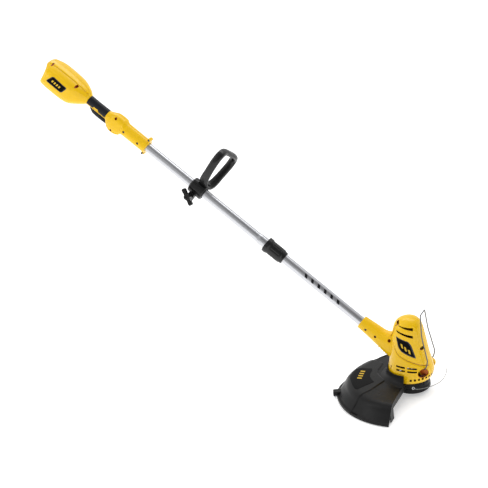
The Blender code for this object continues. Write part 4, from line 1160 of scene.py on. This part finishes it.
def spool():
    cup = lathe([(2.9, 38.5), (45, 38.5), (47.4, 37), (47.4, 23.4), (50.2, 23.4), (50.2, 40), (48, 42.2),
                 (2.9, 44)], BLACK, 128, 0.8)
    hole = turned(rod(mm(44, 0, 28.5), mm(56, 0, 28.5), 3.9, BLACK, 32), LINE_EXIT)
    cut(cup, hole, *[turned(block(mm(49.2, -1.4, 30.5), mm(52, 1.4, 38.5), BLACK, 0.5), LINE_EXIT + 18 * k)
                     for k in range(20) if k not in (0, 10)])
    put(cup, "spool_cup", "spool", ["spool_housing"])
    cover = lathe([(22, 8.6), (44, 7.6), (48.5, 8.6), (51, 12), (51, 23), (47.4, 23), (47.4, 14.6),
                   (44, 12.6), (22, 12.6)], BLACK, 128, 0.8)
    cut(cover, *[turned(rod(mm(52.6, 0, 13), mm(52.6, 0, 26), 2.2, BLACK, 24), 15 * k + 5)
                 for k in range(24)])
    put(cover, "spool_lid", "spool", ["spool_cover"])
    eyelet = lathe([(1.5, 46.6), (3.5, 46.6), (3.5, 50.6), (4.6, 51), (4.6, 52.2), (1.9, 52.2)],
                   STEEL, 48, 0.4)
    moved(eyelet, about("Z", LINE_EXIT) @ Matrix.Translation(mm(0, 0, 28.5)) @ about("Y", 90))
    put(eyelet, "line_ferrule", "spool", ["line_eyelet"])
    knob = lathe([(0, 0), (12, 0), (17.5, 1.4), (20.5, 5), (21.6, 10), (21.6, 14.6), (16, 14.6), (16, 13),
                  (0, 13)], SATIN, 96, 0.8, open_profile=True)
    cut(knob, *[turned(block(mm(5, -1.2, -1), mm(15, 1.2, 0.8), SATIN, 0.4), 60 * k) for k in range(6)])
    put(knob, "bump_button", "reel", ["bump_knob"])


def line_route():
    """Points along the line, from (radius, turn about Z, height)."""
    way = [(46, LINE_EXIT, 28.5), (52, LINE_EXIT, 28.5), (56.5, -67.5, 28.6), (60, -61, 28.6),
           (62.5, -49, 28.6), (66, -33, 28.5), (72, -17, 28.3), (80, 0, 28), (88, 16, 27.6),
           (97, 30, 27.2), (108, 42, 26.8), (116, 49, 26.4)]
    return smooth_path([mm(radius * cos(radians(turn)), radius * sin(radians(turn)), z)
                        for radius, turn, z in way], 5)


def cutting_line():
    route = line_route()
    line = tube_curve(route, 0.9, NYLON, 5)
    put(line, "trimmer_line", "spool", ["cutting_line"])


for build in (cutting_line, tubes, lock_collar, loop_handle, clamp, rear_shell, grip_pads,
              trigger_and_buttons, battery, screws, head_shell, flower_guard, debris_guard, spool):
    build()

# ---- finishes of the CAD nodes that stay ----------------------------------
for look, kept_nodes in (
        (SATIN, "battery_dock"), (RUBBER, "clamp_liner"), (BOARD, "control_board"), (NYLON, "wound_line"),
        (STEEL, "bump_spring line_cutter_blade motor_can motor_shaft trigger_pin trigger_spring"),
        (DARK_STEEL, "cutter_screw_1 cutter_screw_2 guard_screw_1 guard_screw_2 guard_screw_3"),
        (BLACK, "clamp_collet cooling_fan guide_bush line_reel lower_cable motor_end_cap motor_mount"
                " trigger_switch upper_cable")):
    for node_name in kept_nodes.split():
        slots = frame["nodes"][node_name].data.materials
        slots.clear()
        slots.append(look)


# ---- studio --------------------------------------------------------------
def shining(name, light, come_from, at=(0, 0, 0)):
    """Lamp that shines from the direction come_from, at a place of its own."""
    lamp = linked(bpy.data.objects.new(name, light))
    lamp.location = at
    lamp.rotation_mode = "QUATERNION"
    lamp.rotation_quaternion = (-Vector(come_from)).to_track_quat("-Z", "Y")
    return lamp


FLOOR_REACH, FLOOR_GAP = 150.0, 0.002


def studio():
    bm = bmesh.new()
    bmesh.ops.create_grid(bm, x_segments=2, y_segments=2, size=FLOOR_REACH)
    paper = bpy.data.materials.new("pale_floor")
    paper.use_nodes = True
    fill(paper.node_tree.nodes["Principled BSDF"], Base_Color=(0.93, 0.93, 0.93, 1), Roughness=0.9,
         Specular_IOR_Level=0.1, Emission_Color=(1, 1, 1, 1), Emission_Strength=0.42)
    floor = loose(mesh_of("floor", bm), paper)
    floor.location.z = -FLOOR_GAP
    world = bpy.data.worlds.new("studio")
    world.use_nodes = True
    tree = world.node_tree
    sky = fill(tree.nodes["Background"], Color=(1, 1, 1, 1))
    towards = fill(tree.nodes.new("ShaderNodeVectorMath"), operation="DOT_PRODUCT")
    towards.inputs[1].default_value = (0.40, -0.87, 0.10)
    tree.links.new(tree.nodes.new("ShaderNodeTexCoord").outputs["Generated"], towards.inputs[0])
    fade = fill(tree.nodes.new("ShaderNodeMapRange"), interpolation_type="SMOOTHSTEP", From_Min=-0.35,
                From_Max=0.75, To_Min=0.85, To_Max=0.23)
    tree.links.new(towards.outputs["Value"], fade.inputs["Value"])
    tree.links.new(fade.outputs["Result"], sky.inputs["Strength"])
    bpy.context.scene.world = world
    bpy.context.scene.view_settings.view_transform = "Standard"
    centre = (CAD_LOW + CAD_HIGH) / 2
    for name, spot, size, power in (("rim", (-0.3, 1.6, 2.9), (3.2, 0.9), 19.0),
                                    ("side", (-2.4, -1.1, 1.9), (0.5, 2.2), 9.0)):
        light = bpy.data.lights.new(name, "AREA")
        light.shape = "RECTANGLE"
        light.size, light.size_y = size
        light.energy = power
        shining(name, light, Vector(spot) - centre, spot)
    for name, come_from, energy, spread in (("front_panel", (-0.35, -0.75, 0.62), 0.48, 80),
                                            ("high_panel", (0.2, 0.1, 1), 0.80, 70)):
        light = bpy.data.lights.new(name, "SUN")
        light.energy = energy
        light.angle = radians(spread)
        shining(name, light, come_from).visible_glossy = name == "front_panel"


studio()
